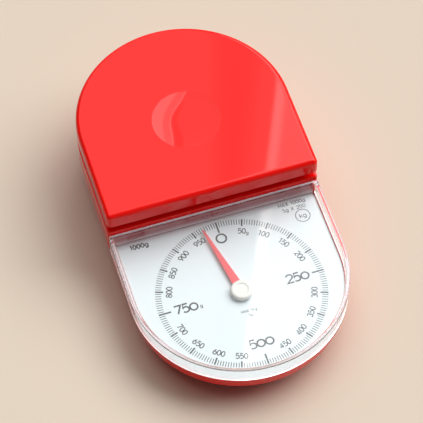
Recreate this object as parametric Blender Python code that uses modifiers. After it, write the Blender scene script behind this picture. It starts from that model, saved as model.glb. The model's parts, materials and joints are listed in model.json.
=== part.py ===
"""Small dial kitchen scale, 1 kg by 5 g: a red stadium-shaped case, a D-shaped weighing
platform at the rear, and a round dial under a clear cover at the front.

Metres, +Z up, +Y towards the rear. The origin is on the table, under the middle of the case.
A load lowers the platform. The upper lever carries that to a bell crank, the crank pushes a
rack forwards, and the rack turns the pinion on the pointer's shaft.
"""

import math

import bmesh
import bpy
from mathutils import Matrix, Vector

MM = 0.001

# ---- fits -------------------------------------------------------------------------------
SEAT_GAP = 0.3 * MM  # between two pieces that rest on each other
RUN_GAP = 0.15 * MM  # radial, round a pin or a shaft that turns
HOLE_GAP = 0.3 * MM  # radial, round a screw
SLIDE_GAP = 0.35 * MM  # on each side of a bar or a pin that slides in a slot

# ---- case outline -----------------------------------------------------------------------
CASE_R = 54.0 * MM  # both ends are half circles of this radius
ARC_Y = 43.4 * MM  # their centres are this far before and behind the origin
ARC_STEPS = 24  # sides in a half circle of the case
SPLIT_Y = -4.2 * MM  # front wall of the rear housing
WALL = 2.0 * MM

# ---- heights ----------------------------------------------------------------------------
BASE_Z = 2.7 * MM  # underside of the base
FLOOR_Z = BASE_Z + WALL
LIP_Z = 13.0 * MM  # lower edge of the base's visible lip
SEAM_Z = 20.1 * MM  # middle of the seam between base and upper pieces
DIAL_Z = 19.0 * MM  # printed face of the dial
COVER_TOP_Z = DIAL_Z + 11.1 * MM
SHOULDER_Z = DIAL_Z + 13.5 * MM
NECK_TOP_Z = 40.0 * MM
PLATFORM_TOP_Z = DIAL_Z + 27.0 * MM

# ---- base -------------------------------------------------------------------------------
LIP_INSET = 1.1 * MM
BOTTOM_INSET = 10.5 * MM  # edge of the flat underside, in from the case outline
KNEE_INSET = 6.6 * MM
KNEE_RISE = 1.7 * MM
LEDGE_WIDTH = 2.5 * MM
LEDGE_THICK = 1.5 * MM

# ---- dial and cover ---------------------------------------------------------------------
DIAL_Y = -(ARC_Y + 5.4 * MM)  # centre of the dial
DIAL_THICK = 0.8 * MM
DIAL_EDGE_GAP = 0.4 * MM
DIAL_HOLE_R = 3.0 * MM
COVER_WALL = 1.8 * MM
COVER_ROUND = 1.2 * MM
COVER_REAR_SHARP = 0.8  # how much less its rear edge is rounded than its sides

# ---- rear housing -----------------------------------------------------------------------
NECK_INSET = 3.2 * MM
EDGE_ROUND = 0.7 * MM
POST_HOLE_R = 9.5 * MM
BOSS_R = 4.4 * MM

# ---- platform ---------------------------------------------------------------------------
PLATFORM_Y = -4.7 * MM  # its front face
PLATFORM_ROUND = 2.5 * MM
PLATFORM_SKIRT = 6.4 * MM
PLATFORM_THICK = 2.5 * MM
PLATFORM_WALL = 2.2 * MM
PLATFORM_CORNER = 2.5 * MM
DISH_Y = ARC_Y - 3.9 * MM
DISH_R = 17.25 * MM
DISH_DEPTH = 0.8 * MM
SOCKET_R = 8.0 * MM
SOCKET_BOTTOM_Z = 36.5 * MM

# ---- feet and screws --------------------------------------------------------------------
FOOT_R = 5.0 * MM
FOOT_X = 32.0 * MM
FOOT_Y = ARC_Y + 18.6 * MM
FOOT_RECESS = 0.6 * MM
CASE_SCREW_SPOTS = [(CASE_R - 16.0 * MM, 8.0 * MM), (26.0 * MM, ARC_Y + 28.6 * MM)]
CASE_SCREW_R = 1.25 * MM
CASE_SCREW_HEAD_R = 2.6 * MM
CASE_SCREW_TIP_Z = 30.0 * MM
COUNTERBORE_Z = 6.5 * MM
CHASSIS_SCREW_SPOTS = [(15.0 * MM, DIAL_Y - 25.2 * MM), (16.0 * MM, DISH_Y + 28.5 * MM)]
CHASSIS_SCREW_R = 1.0 * MM
CHASSIS_SCREW_HEAD_R = 2.2 * MM
CHASSIS_BOSS_R = 3.2 * MM

# ---- chassis ----------------------------------------------------------------------------
CHASSIS_Z = 6.9 * MM  # underside
CHASSIS_THICK = 1.2 * MM
CHASSIS_TOP_Z = CHASSIS_Z + CHASSIS_THICK
CHASSIS_HALF = 20.0 * MM
CHASSIS_FRONT_Y = DIAL_Y - 31.2 * MM
CHASSIS_REAR_Y = DISH_Y + 44.5 * MM
STAND_Z = CHASSIS_TOP_Z + SEAT_GAP  # underside of what stands on the chassis
EAR_X = 12.0 * MM
EAR_THICK = 1.2 * MM
EAR_HALF = 5.0 * MM
EAR_TOP_Z = 33.5 * MM

# ---- load linkage -----------------------------------------------------------------------
TRAVEL = 2.5 * MM  # platform travel at full load
POST_Y = DISH_Y
POST_R = 5.0 * MM
POST_TOP_Z = PLATFORM_TOP_Z - PLATFORM_THICK - SEAT_GAP
ARM = 37.0 * MM  # rear pivot to load post, upper and lower
PIVOT_Y = POST_Y + ARM
UPPER_Z = 30.0 * MM
LOWER_Z = 19.0 * MM
PIN_R = 1.4 * MM
BEAM_X = 8.5 * MM
BEAM_THICK = 1.8 * MM
BEAM_HALF = PIN_R + 0.6 * MM
BEAM_END = PIN_R + 1.6 * MM  # beam beyond a pin
TIP_Y = POST_Y - 29.0 * MM  # where the upper lever drives the crank
TONGUE_X = 2.2 * MM
TONGUE_THICK = 1.6 * MM
CARRIER_Z = 14.0 * MM
CARRIER_THICK = 1.4 * MM

# ---- pinion, rack and crank -------------------------------------------------------------
MODULE = 0.5 * MM
TEETH = 8
PITCH_R = MODULE * TEETH / 2
RACK_TRAVEL = 2 * math.pi * PITCH_R  # one turn of the pointer
TOOTH_HALF = 0.3 * MM  # half of a tooth's thickness at the pitch line
ADDENDUM = 0.45 * MM
DEDENDUM = 0.6 * MM
TOOTH_SLOPE = math.tan(math.radians(20))
CRANK_SWING = math.radians(45)
CRANK_LONG = RACK_TRAVEL / CRANK_SWING
CRANK_SHORT = TRAVEL * (PIVOT_Y - TIP_Y) / ARM / CRANK_SWING
CRANK_Y = TIP_Y - CRANK_SHORT * math.cos(CRANK_SWING / 2)
CRANK_Z = UPPER_Z - CRANK_SHORT * math.sin(CRANK_SWING / 2)
CRANK_HALF = 1.0 * MM
CRANK_PIN_R = 0.8 * MM
CRANK_PIN_END_X = 4.9 * MM
CRANK_AXLE_R = 1.2 * MM
CRANK_HUB_R = 2.3 * MM
CRANK_EYE_R = 1.9 * MM
RACK_PIN_Y = CRANK_Y + CRANK_LONG * math.sin(CRANK_SWING / 2)
RACK_PIN_Z = CRANK_Z - CRANK_LONG * math.cos(CRANK_SWING / 2)
RACK_PIN_LOW_Z = CRANK_Z - CRANK_LONG
RACK_Z = 11.6 * MM
RACK_THICK = 2.0 * MM
RACK_BACK_X = 5.2 * MM
RACK_FRONT_Y = DIAL_Y - 26.2 * MM
RACK_TEETH = 13
BRACKET_X = 6.2 * MM
BRACKET_THICK = 1.2 * MM
BRACKET_HALF = 3.0 * MM
GUIDE_LENGTH = 4.5 * MM
GUIDE_SPOTS = {"rack_guide_rear": DIAL_Y + 24.8 * MM, "rack_guide_front": DIAL_Y - 25.7 * MM}

# ---- pointer ----------------------------------------------------------------------------
POINTER_TURN = math.radians(11)  # rest position, anticlockwise of the zero mark
POINTER_TIP = 39.5 * MM
POINTER_ROOT_HALF = 2.25 * MM
POINTER_TIP_HALF = 0.45 * MM
POINTER_THICK = 0.6 * MM
POINTER_Z = DIAL_Z + 1.3 * MM
POINTER_BOSS_R = 3.4 * MM
SHAFT_R = 0.6 * MM
SHAFT_BOTTOM_Z = 6.6 * MM
CAP_R = 5.5 * MM
CAP_BOTTOM_Z = DIAL_Z + 1.0 * MM
CAP_TOP_Z = DIAL_Z + 3.3 * MM
CAP_WALL = 0.9 * MM
CAP_RING_R = 3.1 * MM
PINION_Z = 10.6 * MM
PINION_LENGTH = 4.0 * MM
BUSH_R = 1.5 * MM
BUSH_FLANGE_R = 2.4 * MM
BRIDGE_X = 12.8 * MM
BRIDGE_THICK = 1.2 * MM
BRIDGE_TOP_Z = 17.4 * MM
BRIDGE_HALF = 4.2 * MM

# ---- springs and zero adjuster ----------------------------------------------------------
SPRING_X = 17.5 * MM
SPRING_Y = POST_Y + 18.5 * MM
SPRING_COIL_R = 3.4 * MM
SPRING_WIRE_R = 0.45 * MM
SPRING_TURNS = 8
SPRING_LOW_Z = 17.4 * MM
SPRING_HIGH_Z = 31.2 * MM
HOOK_HOLE_R = 1.1 * MM
HOOK_REACH = 2.0 * MM
YOKE_Z = 33.4 * MM
YOKE_THICK = 1.4 * MM
BAR_END_X = 22.0 * MM
BAR_HALF = 3.5 * MM
ZERO_SCREW_R = 1.5 * MM
ZERO_COLLAR_R = 3.2 * MM
ZERO_TOP_Z = 36.8 * MM
KNOB_R = 8.0 * MM
KNOB_GAP = 0.8 * MM
KNOB_BOTTOM_Z = 1.0 * MM
KNOB_TOP_Z = 4.4 * MM
KNOB_FLUTES = 16

ROUND_STEPS = 16  # sides of a small round piece
LARGE_STEPS = 28  # sides of a larger one

NAME = "Kitchen_scale"


# ---- scene ------------------------------------------------------------------------------
def clear_scene():
    for obj in list(bpy.data.objects):
        bpy.data.objects.remove(obj, do_unlink=True)


def new_collection(name, hidden=False):
    group = bpy.data.collections.new(name)
    bpy.context.scene.collection.children.link(group)
    group.hide_render = hidden
    return group


def new_material(name, colour, roughness, metallic=0.0, transmission=0.0):
    made = bpy.data.materials.new(name)
    made.use_nodes = True
    shader = made.node_tree.nodes["Principled BSDF"]
    shader.inputs["Base Color"].default_value = (*colour, 1.0)
    shader.inputs["Roughness"].default_value = roughness
    shader.inputs["Metallic"].default_value = metallic
    shader.inputs["Transmission Weight"].default_value = transmission
    made.diffuse_color = (*colour, 1.0)
    return made


# ---- outlines, as lists of (x, y) -------------------------------------------------------
def arc(x, y, radius, start, end, steps):
    turns = [math.radians(start + (end - start) * i / steps) for i in range(steps + 1)]
    return [(x + radius * math.cos(a), y + radius * math.sin(a)) for a in turns]


def stadium(inset):
    radius = CASE_R - inset
    rear = arc(0, ARC_Y, radius, 0, 180, ARC_STEPS)
    return rear + arc(0, -ARC_Y, radius, 180, 360, ARC_STEPS)


def rear_dee(inset, front_y, corner):
    """Half circle at the rear, straight at the front. Every inset gives as many points."""
    radius = CASE_R - inset
    edge = front_y + inset
    bend = max(corner - inset, 0.2 * MM)
    right = arc(radius - bend, edge + bend, bend, -90, 0, 4)
    left = arc(bend - radius, edge + bend, bend, 180, 270, 4)
    return right + arc(0, ARC_Y, radius, 0, 180, ARC_STEPS) + left


def front_dee(inset, rear_y, corner):
    mirrored = rear_dee(inset, -rear_y, corner)
    return [(x, -y) for x, y in reversed(mirrored)]


def rectangle(x0, x1, y0, y1, corner=0.0):
    if corner == 0.0:
        return [(x0, y0), (x1, y0), (x1, y1), (x0, y1)]
    return (
        arc(x0 + corner, y0 + corner, corner, 180, 270, 4)
        + arc(x1 - corner, y0 + corner, corner, 270, 360, 4)
        + arc(x1 - corner, y1 - corner, corner, 0, 90, 4)
        + arc(x0 + corner, y1 - corner, corner, 90, 180, 4)
    )


# ---- bodies, added to a bmesh -----------------------------------------------------------
def add_loft(bm, rings):
    """Closed body through rings of (outline, z) with equal numbers of points."""
    loops = [[bm.verts.new((x, y, z)) for x, y in outline] for outline, z in rings]
    for lower, upper in zip(loops, loops[1:]):
        for i in range(len(lower)):
            j = (i + 1) % len(lower)
            bm.faces.new((lower[i], lower[j], upper[j], upper[i]))
    bm.faces.new(list(reversed(loops[0])))
    bm.faces.new(loops[-1])


def extrude(bm, corners, shift):
    """Closed body from a flat outline, given as 3-D points, pushed along the shift."""
    face = bm.faces.new([bm.verts.new(corner) for corner in corners])
    grown = bmesh.ops.extrude_face_region(bm, geom=[face], use_keep_orig=True)["geom"]
    moved = [item for item in grown if isinstance(item, bmesh.types.BMVert)]
    bmesh.ops.translate(bm, verts=moved, vec=shift)


def add_prism(bm, outline, low, high):
    extrude(bm, [(x, y, low) for x, y in outline], (0, 0, high - low))


def add_box(bm, x0, x1, y0, y1, z0, z1):
    size = Matrix.Diagonal((x1 - x0, y1 - y0, z1 - z0, 1))
    middle = Vector((x0 + x1, y0 + y1, z0 + z1)) / 2
    bmesh.ops.create_cube(bm, size=1, matrix=Matrix.Translation(middle) @ size)


def add_rod(bm, radius, start, end, steps=ROUND_STEPS):
    start, end = Vector(start), Vector(end)
    turn = (end - start).to_track_quat("Z", "Y").to_matrix().to_4x4()
    bmesh.ops.create_cone(
        bm,
        cap_ends=True,
        segments=steps,
        radius1=radius,
        radius2=radius,
        depth=(end - start).length,
        matrix=Matrix.Translation((start + end) / 2) @ turn,
    )


def add_side_plate(bm, outline, x0, x1):
    """Plate across X. The outline is in (y, z)."""
    extrude(bm, [(x0, y, z) for y, z in outline], (x1 - x0, 0, 0))


# ---- objects ----------------------------------------------------------------------------
def make(name, bm, look, origin=(0, 0, 0), sharp=35):
    """Object of what the bmesh holds, with its origin moved to the given point."""
    bmesh.ops.recalc_face_normals(bm, faces=bm.faces[:])
    bmesh.ops.translate(bm, verts=bm.verts[:], vec=-Vector(origin))
    mesh = bpy.data.meshes.new(name)
    bm.to_mesh(mesh)
    bm.free()
    return add_object(name, mesh, look, origin, sharp)


def add_object(name, mesh, look, origin, sharp=35):
    mesh.materials.append(look)
    obj = bpy.data.objects.new(name, mesh)
    obj.location = origin
    parts.objects.link(obj)
    if sharp:
        mesh.shade_smooth()
        mesh.set_sharp_from_angle(angle=math.radians(sharp))
    return obj


def combine(obj, bm, operation):
    """Boolean of the object with what the bmesh holds, kept as a live modifier."""
    bmesh.ops.recalc_face_normals(bm, faces=bm.faces[:])
    name = f"{obj.name}_{operation.lower()}_{len(obj.modifiers)}"
    mesh = bpy.data.meshes.new(name)
    bm.to_mesh(mesh)
    bm.free()
    tool = bpy.data.objects.new(name, mesh)
    tool.hide_render = True
    tool.display_type = "WIRE"
    cutters.objects.link(tool)
    step = obj.modifiers.new(operation.title(), "BOOLEAN")
    step.operation = operation
    step.solver = "EXACT"
    step.object = tool


def cut(obj, bm):
    combine(obj, bm, "DIFFERENCE")


def fuse(obj, bm):
    combine(obj, bm, "UNION")


def turned(name, profile, look, at, steps=ROUND_STEPS):
    """Body turned about Z. The profile is (radius, z) from the top centre, down the outside,
    to the bottom centre or back up a bore."""
    mesh = bpy.data.meshes.new(name)
    bm = bmesh.new()
    points = [bm.verts.new((r, 0, z)) for r, z in profile]
    closed = profile[0][0] > 0
    for a, b in zip(points, points[1:] + (points[:1] if closed else [])):
        bm.edges.new((a, b))
    bm.to_mesh(mesh)
    bm.free()
    obj = add_object(name, mesh, look, at, sharp=0)
    screw = obj.modifiers.new("Turn", "SCREW")
    screw.axis = "Z"
    screw.steps = steps
    screw.render_steps = steps
    screw.use_merge_vertices = True
    screw.merge_threshold = 0.00001
    screw.use_smooth_shade = False
    return obj


def mirrored_spots(spots):
    return [(side * x, y) for x, y in spots for side in (-1, 1)]


# ---- case -------------------------------------------------------------------------------
def case_screw_spots():
    """Screw positions by name: two by the case's front joint, two at its rear."""
    front, rear = CASE_SCREW_SPOTS
    return mirrored_spots([front, rear])


def make_base():
    rim = SEAM_Z - SEAT_GAP / 2
    ledge = DIAL_Z - DIAL_THICK - SEAT_GAP
    inner = [
        (WALL, rim),
        (WALL, ledge),
        (WALL + LEDGE_WIDTH, ledge),
        (WALL + LEDGE_WIDTH, ledge - LEDGE_THICK),
        (WALL + LIP_INSET - 0.2 * MM, ledge - LEDGE_THICK),
        (WALL + LIP_INSET, LIP_Z + 0.3 * MM),
        (KNEE_INSET + 1.8 * MM, FLOOR_Z + 0.7 * MM),
        (KNEE_INSET + 2.6 * MM, FLOOR_Z),
    ]
    outer = [
        (BOTTOM_INSET, BASE_Z),
        (BOTTOM_INSET - 2.1 * MM, BASE_Z + 0.35 * MM),
        (KNEE_INSET, BASE_Z + KNEE_RISE),
        (LIP_INSET + 0.25 * MM, LIP_Z - 0.35 * MM),
        (LIP_INSET, LIP_Z),
        (0.0, rim - 0.3 * MM),
        (0.3 * MM, rim),
    ]
    bm = bmesh.new()
    add_loft(bm, [(stadium(inset), z) for inset, z in outer + inner])
    base = make("base_tray", bm, red, sharp=25)

    bm = bmesh.new()
    for x, y in case_screw_spots():
        add_rod(bm, BOSS_R, (x, y, BASE_Z + WALL / 2), (x, y, rim + 1.2 * MM))
    for x, y in mirrored_spots(CHASSIS_SCREW_SPOTS):
        add_rod(bm, CHASSIS_BOSS_R, (x, y, BASE_Z + WALL / 2), (x, y, CHASSIS_Z - SEAT_GAP))
    fuse(base, bm)

    bm = bmesh.new()
    below = BASE_Z - 1.0 * MM
    for x, y in case_screw_spots():
        add_rod(bm, CASE_SCREW_HEAD_R + HOLE_GAP, (x, y, below), (x, y, COUNTERBORE_Z))
    for x, y in mirrored_spots([(FOOT_X, FOOT_Y), (FOOT_X, -FOOT_Y)]):
        add_rod(bm, FOOT_R + SEAT_GAP, (x, y, below), (x, y, BASE_Z + FOOT_RECESS))
    add_rod(bm, KNOB_R + KNOB_GAP, (0, SPRING_Y, below), (0, SPRING_Y, FLOOR_Z + 1.0 * MM), LARGE_STEPS)
    cut(base, bm)

    bm = bmesh.new()
    for x, y in case_screw_spots():
        add_rod(bm, CASE_SCREW_R + HOLE_GAP, (x, y, FLOOR_Z), (x, y, rim + 3.0 * MM))
    for x, y in mirrored_spots(CHASSIS_SCREW_SPOTS):
        add_rod(bm, CHASSIS_SCREW_R + HOLE_GAP, (x, y, FLOOR_Z), (x, y, CHASSIS_Z + 1.0 * MM))
    cut(base, bm)


def make_housing():
    seam = SEAM_Z + SEAT_GAP / 2
    deck_low = NECK_TOP_Z - WALL
    neck_in = NECK_INSET + WALL
    rounding = [math.radians(45 * i) for i in range(3)]
    inner = [
        (neck_in, deck_low),
        (neck_in, SHOULDER_Z - WALL),
        (WALL, SHOULDER_Z - WALL),
        (WALL, seam),
    ]
    outer = [(0.0, seam)]
    for foot, top in ((0.0, SHOULDER_Z), (NECK_INSET, NECK_TOP_Z)):
        for a in rounding:
            z = top - EDGE_ROUND * (1 - math.sin(a))
            outer.append((foot + EDGE_ROUND * (1 - math.cos(a)), z))
        if foot == 0.0:
            outer.append((NECK_INSET, SHOULDER_Z))
    bm = bmesh.new()
    corner = 1.2 * MM
    add_loft(bm, [(rear_dee(inset, SPLIT_Y, corner), z) for inset, z in inner + outer])
    housing = make("rear_housing", bm, red, sharp=25)

    bm = bmesh.new()
    for x, y in case_screw_spots():
        add_rod(bm, BOSS_R, (x, y, seam + 1.3 * MM), (x, y, deck_low + WALL / 2))
    fuse(housing, bm)
    bm = bmesh.new()
    half = CASE_R - WALL - 0.6 * MM
    low = DIAL_Z + SEAT_GAP
    add_box(bm, -half, half, SPLIT_Y, SPLIT_Y + WALL, low, seam + 0.5 * MM)
    fuse(housing, bm)

    bm = bmesh.new()
    for x, y in case_screw_spots():
        add_rod(bm, CASE_SCREW_R + HOLE_GAP, (x, y, seam), (x, y, CASE_SCREW_TIP_Z + 0.5 * MM))
    add_rod(bm, POST_HOLE_R, (0, POST_Y, SHOULDER_Z), (0, POST_Y, NECK_TOP_Z + 1.0 * MM), LARGE_STEPS)
    cut(housing, bm)


def make_cover():
    seam = SEAM_Z + SEAT_GAP / 2
    rear = SPLIT_Y - SEAT_GAP
    inner = [(COVER_WALL, COVER_TOP_Z - COVER_WALL), (COVER_WALL, seam)]
    rings = [(front_dee(inset, rear, COVER_ROUND), z) for inset, z in inner]
    rings.append((front_dee(0.0, rear, COVER_ROUND), seam))
    for i in range(4):
        a = math.radians(30 * i)
        inset = COVER_ROUND * (1 - math.cos(a))
        z = COVER_TOP_Z - COVER_ROUND * (1 - math.sin(a))
        rings.append((front_dee(inset, rear + COVER_REAR_SHARP * inset, COVER_ROUND), z))
    bm = bmesh.new()
    add_loft(bm, rings)
    make("dial_cover", bm, clear)


def make_dial():
    inset = WALL + DIAL_EDGE_GAP
    outline = front_dee(inset, SPLIT_Y + WALL - SEAT_GAP + inset, 0.5 * MM)
    bm = bmesh.new()
    add_prism(bm, outline, DIAL_Z - DIAL_THICK, DIAL_Z)
    plate = make("dial_plate", bm, white)
    bm = bmesh.new()
    add_rod(bm, DIAL_HOLE_R, (0, DIAL_Y, DIAL_Z - 2 * MM), (0, DIAL_Y, DIAL_Z + 1 * MM))
    cut(plate, bm)


def make_platform():
    under = PLATFORM_TOP_Z - PLATFORM_THICK
    hem = PLATFORM_TOP_Z - PLATFORM_ROUND - PLATFORM_SKIRT
    rings = [(PLATFORM_WALL, under), (PLATFORM_WALL, hem), (0.3 * MM, hem), (0.0, hem + 0.3 * MM)]
    for i in range(6):
        a = math.radians(18 * i)
        z = PLATFORM_TOP_Z - PLATFORM_ROUND * (1 - math.sin(a))
        rings.append((PLATFORM_ROUND * (1 - math.cos(a)), z))
    bm = bmesh.new()
    add_loft(bm, [(rear_dee(i, PLATFORM_Y, PLATFORM_CORNER), z) for i, z in rings])
    at = (0, POST_Y, 0)
    platform = make("platform", bm, red, origin=at, sharp=25)

    bm = bmesh.new()
    add_rod(bm, SOCKET_R, (0, POST_Y, SOCKET_BOTTOM_Z), (0, POST_Y, under + 0.8 * MM), LARGE_STEPS)
    fuse(platform, bm)
    bm = bmesh.new()
    add_rod(bm, POST_R + SEAT_GAP, (0, POST_Y, SOCKET_BOTTOM_Z - MM), (0, POST_Y, under), LARGE_STEPS)
    cut(platform, bm)
    cut(platform, dish_tool())


def dish_tool():
    """Lens whose lower face is the dish in the platform's top, flat in the middle and steeper outside."""
    steps = 2 * LARGE_STEPS
    rings = []
    for fraction in (0.3, 0.55, 0.8, 1.0):
        r = DISH_R * fraction
        drop = DISH_DEPTH * (1 - fraction**3)
        rings.append((arc(0, DISH_Y, r, 0, 360 - 360 / steps, steps - 1), PLATFORM_TOP_Z - drop))
    rings.append((rings[-1][0], PLATFORM_TOP_Z + 1.0 * MM))
    bm = bmesh.new()
    add_loft(bm, rings)
    return bm


def make_feet():
    top = BASE_Z + FOOT_RECESS - SEAT_GAP
    edge = 0.6 * MM
    profile = [(0, top), (FOOT_R, top), (FOOT_R, edge), (FOOT_R - edge, 0), (0, 0)]
    for i, (x, y) in enumerate(mirrored_spots([(FOOT_X, -FOOT_Y), (FOOT_X, FOOT_Y)])):
        turned(f"foot_{i + 1}", profile, rubber, (x, y, 0))


def make_case_screws():
    seat = COUNTERBORE_Z - SEAT_GAP
    low = seat - 1.9 * MM
    for i, (x, y) in enumerate(case_screw_spots()):
        profile = [
            (0, CASE_SCREW_TIP_Z),
            (CASE_SCREW_R * 0.5, CASE_SCREW_TIP_Z),
            (CASE_SCREW_R, CASE_SCREW_TIP_Z - 1.2 * MM),
            (CASE_SCREW_R, seat),
            (CASE_SCREW_HEAD_R, seat),
            (CASE_SCREW_HEAD_R, low + 0.6 * MM),
            (CASE_SCREW_HEAD_R - 0.6 * MM, low),
            (0, low),
        ]
        screw = turned(f"case_screw_{i + 1}", profile, steel, (x, y, 0))
        cross_recess(screw, x, y, low, 1)


def cross_recess(screw, x, y, face, inward):
    """Cross slots in a screw head. inward is +1 or -1, the way the slots go along Z."""
    long, short, depth = 1.4 * MM, 0.3 * MM, 0.9 * MM
    z0, z1 = sorted((face - inward * 0.5 * MM, face + inward * depth))
    for half_x, half_y in ((long, short), (short, long)):
        bm = bmesh.new()
        add_box(bm, x - half_x, x + half_x, y - half_y, y + half_y, z0, z1)
        cut(screw, bm)


# ---- chassis ----------------------------------------------------------------------------
def make_chassis():
    bm = bmesh.new()
    outline = rectangle(
        -CHASSIS_HALF, CHASSIS_HALF, CHASSIS_FRONT_Y, CHASSIS_REAR_Y, 5.0 * MM
    )
    add_prism(bm, outline, CHASSIS_Z, CHASSIS_TOP_Z)
    plate = make("chassis_plate", bm, steel)
    bm = bmesh.new()
    for side in (-1, 1):
        x0, x1 = sorted((side * EAR_X, side * (EAR_X + EAR_THICK)))
        side_plate = rectangle(
            PIVOT_Y - EAR_HALF, PIVOT_Y + EAR_HALF, CHASSIS_Z + 0.4 * MM, EAR_TOP_Z, 1.5 * MM
        )
        add_side_plate(bm, side_plate, x0, x1)
    fuse(plate, bm)
    bm = bmesh.new()
    for z in (UPPER_Z, LOWER_Z):
        reach = EAR_X + EAR_THICK + 1 * MM
        add_rod(bm, PIN_R + RUN_GAP, (-reach, PIVOT_Y, z), (reach, PIVOT_Y, z))
    low, high = CHASSIS_Z - 1 * MM, CHASSIS_TOP_Z + 1 * MM
    for x, y in mirrored_spots(CHASSIS_SCREW_SPOTS):
        add_rod(bm, CHASSIS_SCREW_R + HOLE_GAP, (x, y, low), (x, y, high))
    add_rod(bm, BUSH_R + HOLE_GAP, (0, DIAL_Y, low), (0, DIAL_Y, high))
    add_rod(bm, ZERO_SCREW_R + RUN_GAP, (0, SPRING_Y, low), (0, SPRING_Y, high))
    cut(plate, bm)
    # Lightening slots along the plate, clear of what stands on it.
    bm = bmesh.new()
    for y0, y1 in ((-68.0 * MM, -56.0 * MM), (-40.0 * MM, -28.0 * MM), (14.0 * MM, 46.0 * MM)):
        for side in (-1, 1):
            x0, x1 = sorted((side * 9.0 * MM, side * 15.5 * MM))
            add_prism(bm, rectangle(x0, x1, y0, y1, 3.0 * MM), low, high)
    cut(plate, bm)


def make_chassis_screws():
    under = CHASSIS_TOP_Z + SEAT_GAP
    top = under + 1.5 * MM
    tip = FLOOR_Z + 0.4 * MM
    profile = [
        (0, top),
        (CHASSIS_SCREW_HEAD_R - 0.5 * MM, top),
        (CHASSIS_SCREW_HEAD_R, top - 0.5 * MM),
        (CHASSIS_SCREW_HEAD_R, under),
        (CHASSIS_SCREW_R, under),
        (CHASSIS_SCREW_R, tip),
        (0, tip),
    ]
    for i, (x, y) in enumerate(mirrored_spots(CHASSIS_SCREW_SPOTS)):
        screw = turned(f"chassis_screw_{i + 1}", profile, steel, (x, y, 0))
        cross_recess(screw, x, y, top, -1)


# ---- load linkage -----------------------------------------------------------------------
def beam_outline(front_y, z):
    rear = PIVOT_Y + BEAM_END
    corner = 1.2 * MM
    return rectangle(front_y, rear, z - BEAM_HALF, z + BEAM_HALF, corner)


def add_beams(bm, front_y, z):
    for side in (-1, 1):
        x0, x1 = sorted((side * BEAM_X, side * (BEAM_X + BEAM_THICK)))
        add_side_plate(bm, beam_outline(front_y, z), x0, x1)


def add_cross_bar(bm, y, z):
    reach = BEAM_X + BEAM_THICK / 2
    half = BEAM_HALF - 0.6 * MM
    add_box(bm, -reach, reach, y - 1 * MM, y + 1 * MM, z - half, z + half)


def pin_holes(z):
    """Holes for the rear pivot pin and for the load post's pin."""
    reach = BEAM_X + BEAM_THICK + 1 * MM
    bm = bmesh.new()
    add_rod(bm, PIN_R + RUN_GAP, (-reach, PIVOT_Y, z), (reach, PIVOT_Y, z))
    add_rod(bm, PIN_R + SLIDE_GAP, (-reach, POST_Y, z), (reach, POST_Y, z))
    return bm


def make_upper_lever():
    pivot = (0, PIVOT_Y, UPPER_Z)
    bar_y = TIP_Y + 4.5 * MM
    bm = bmesh.new()
    add_beams(bm, bar_y - 1 * MM, UPPER_Z)
    lever = make("upper_lever", bm, steel, origin=pivot)
    bm = bmesh.new()
    add_cross_bar(bm, PIVOT_Y - 6.5 * MM, UPPER_Z)
    add_cross_bar(bm, bar_y, UPPER_Z)
    fuse(lever, bm)
    bm = bmesh.new()
    tongue = rectangle(
        TIP_Y - 2.4 * MM, bar_y + 0.6 * MM, UPPER_Z - 2.4 * MM, UPPER_Z + 2.4 * MM, 0.8 * MM
    )
    add_side_plate(bm, tongue, TONGUE_X, TONGUE_X + TONGUE_THICK)
    fuse(lever, bm)
    bm = pin_holes(UPPER_Z)
    half = CRANK_PIN_R + SLIDE_GAP
    slot = rectangle(TIP_Y - half - 0.3 * MM, TIP_Y + half + 0.8 * MM, UPPER_Z - half, UPPER_Z + half)
    add_side_plate(bm, slot, TONGUE_X - 1 * MM, TONGUE_X + TONGUE_THICK + 1 * MM)
    cut(lever, bm)


def make_lower_arm():
    pivot = (0, PIVOT_Y, LOWER_Z)
    bm = bmesh.new()
    add_beams(bm, POST_Y - BEAM_END, LOWER_Z)
    arm = make("lower_arm", bm, steel, origin=pivot)
    bm = bmesh.new()
    add_cross_bar(bm, PIVOT_Y - 6.5 * MM, LOWER_Z)
    fuse(arm, bm)
    cut(arm, pin_holes(LOWER_Z))


def make_cross_pin(name, y, z, radius, half, look):
    bm = bmesh.new()
    add_rod(bm, radius, (-half, y, z), (half, y, z))
    make(name, bm, look, origin=(0, y, z))


def make_pins():
    for name, z in (("pivot_pin_upper", UPPER_Z), ("pivot_pin_lower", LOWER_Z)):
        make_cross_pin(name, PIVOT_Y, z, PIN_R, EAR_X + EAR_THICK + 1 * MM, steel)
    for name, z in (("post_pin_upper", UPPER_Z), ("post_pin_lower", LOWER_Z)):
        make_cross_pin(name, POST_Y, z, PIN_R, BEAM_X + BEAM_THICK + 1 * MM, steel)


def make_post():
    low = CARRIER_Z + CARRIER_THICK + SEAT_GAP
    edge = 0.5 * MM
    profile = [
        (0, POST_TOP_Z),
        (POST_R - edge, POST_TOP_Z),
        (POST_R, POST_TOP_Z - edge),
        (POST_R, low),
        (0, low),
    ]
    post = turned("load_post", profile, nylon, (0, POST_Y, 0), LARGE_STEPS)
    bm = bmesh.new()
    reach = POST_R + 1 * MM
    for z in (UPPER_Z, LOWER_Z):
        add_rod(bm, PIN_R + RUN_GAP, (-reach, POST_Y, z), (reach, POST_Y, z))
    add_rod(bm, CHASSIS_SCREW_R + RUN_GAP, (0, POST_Y, low - MM), (0, POST_Y, low + 1.4 * MM))
    cut(post, bm)


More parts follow.
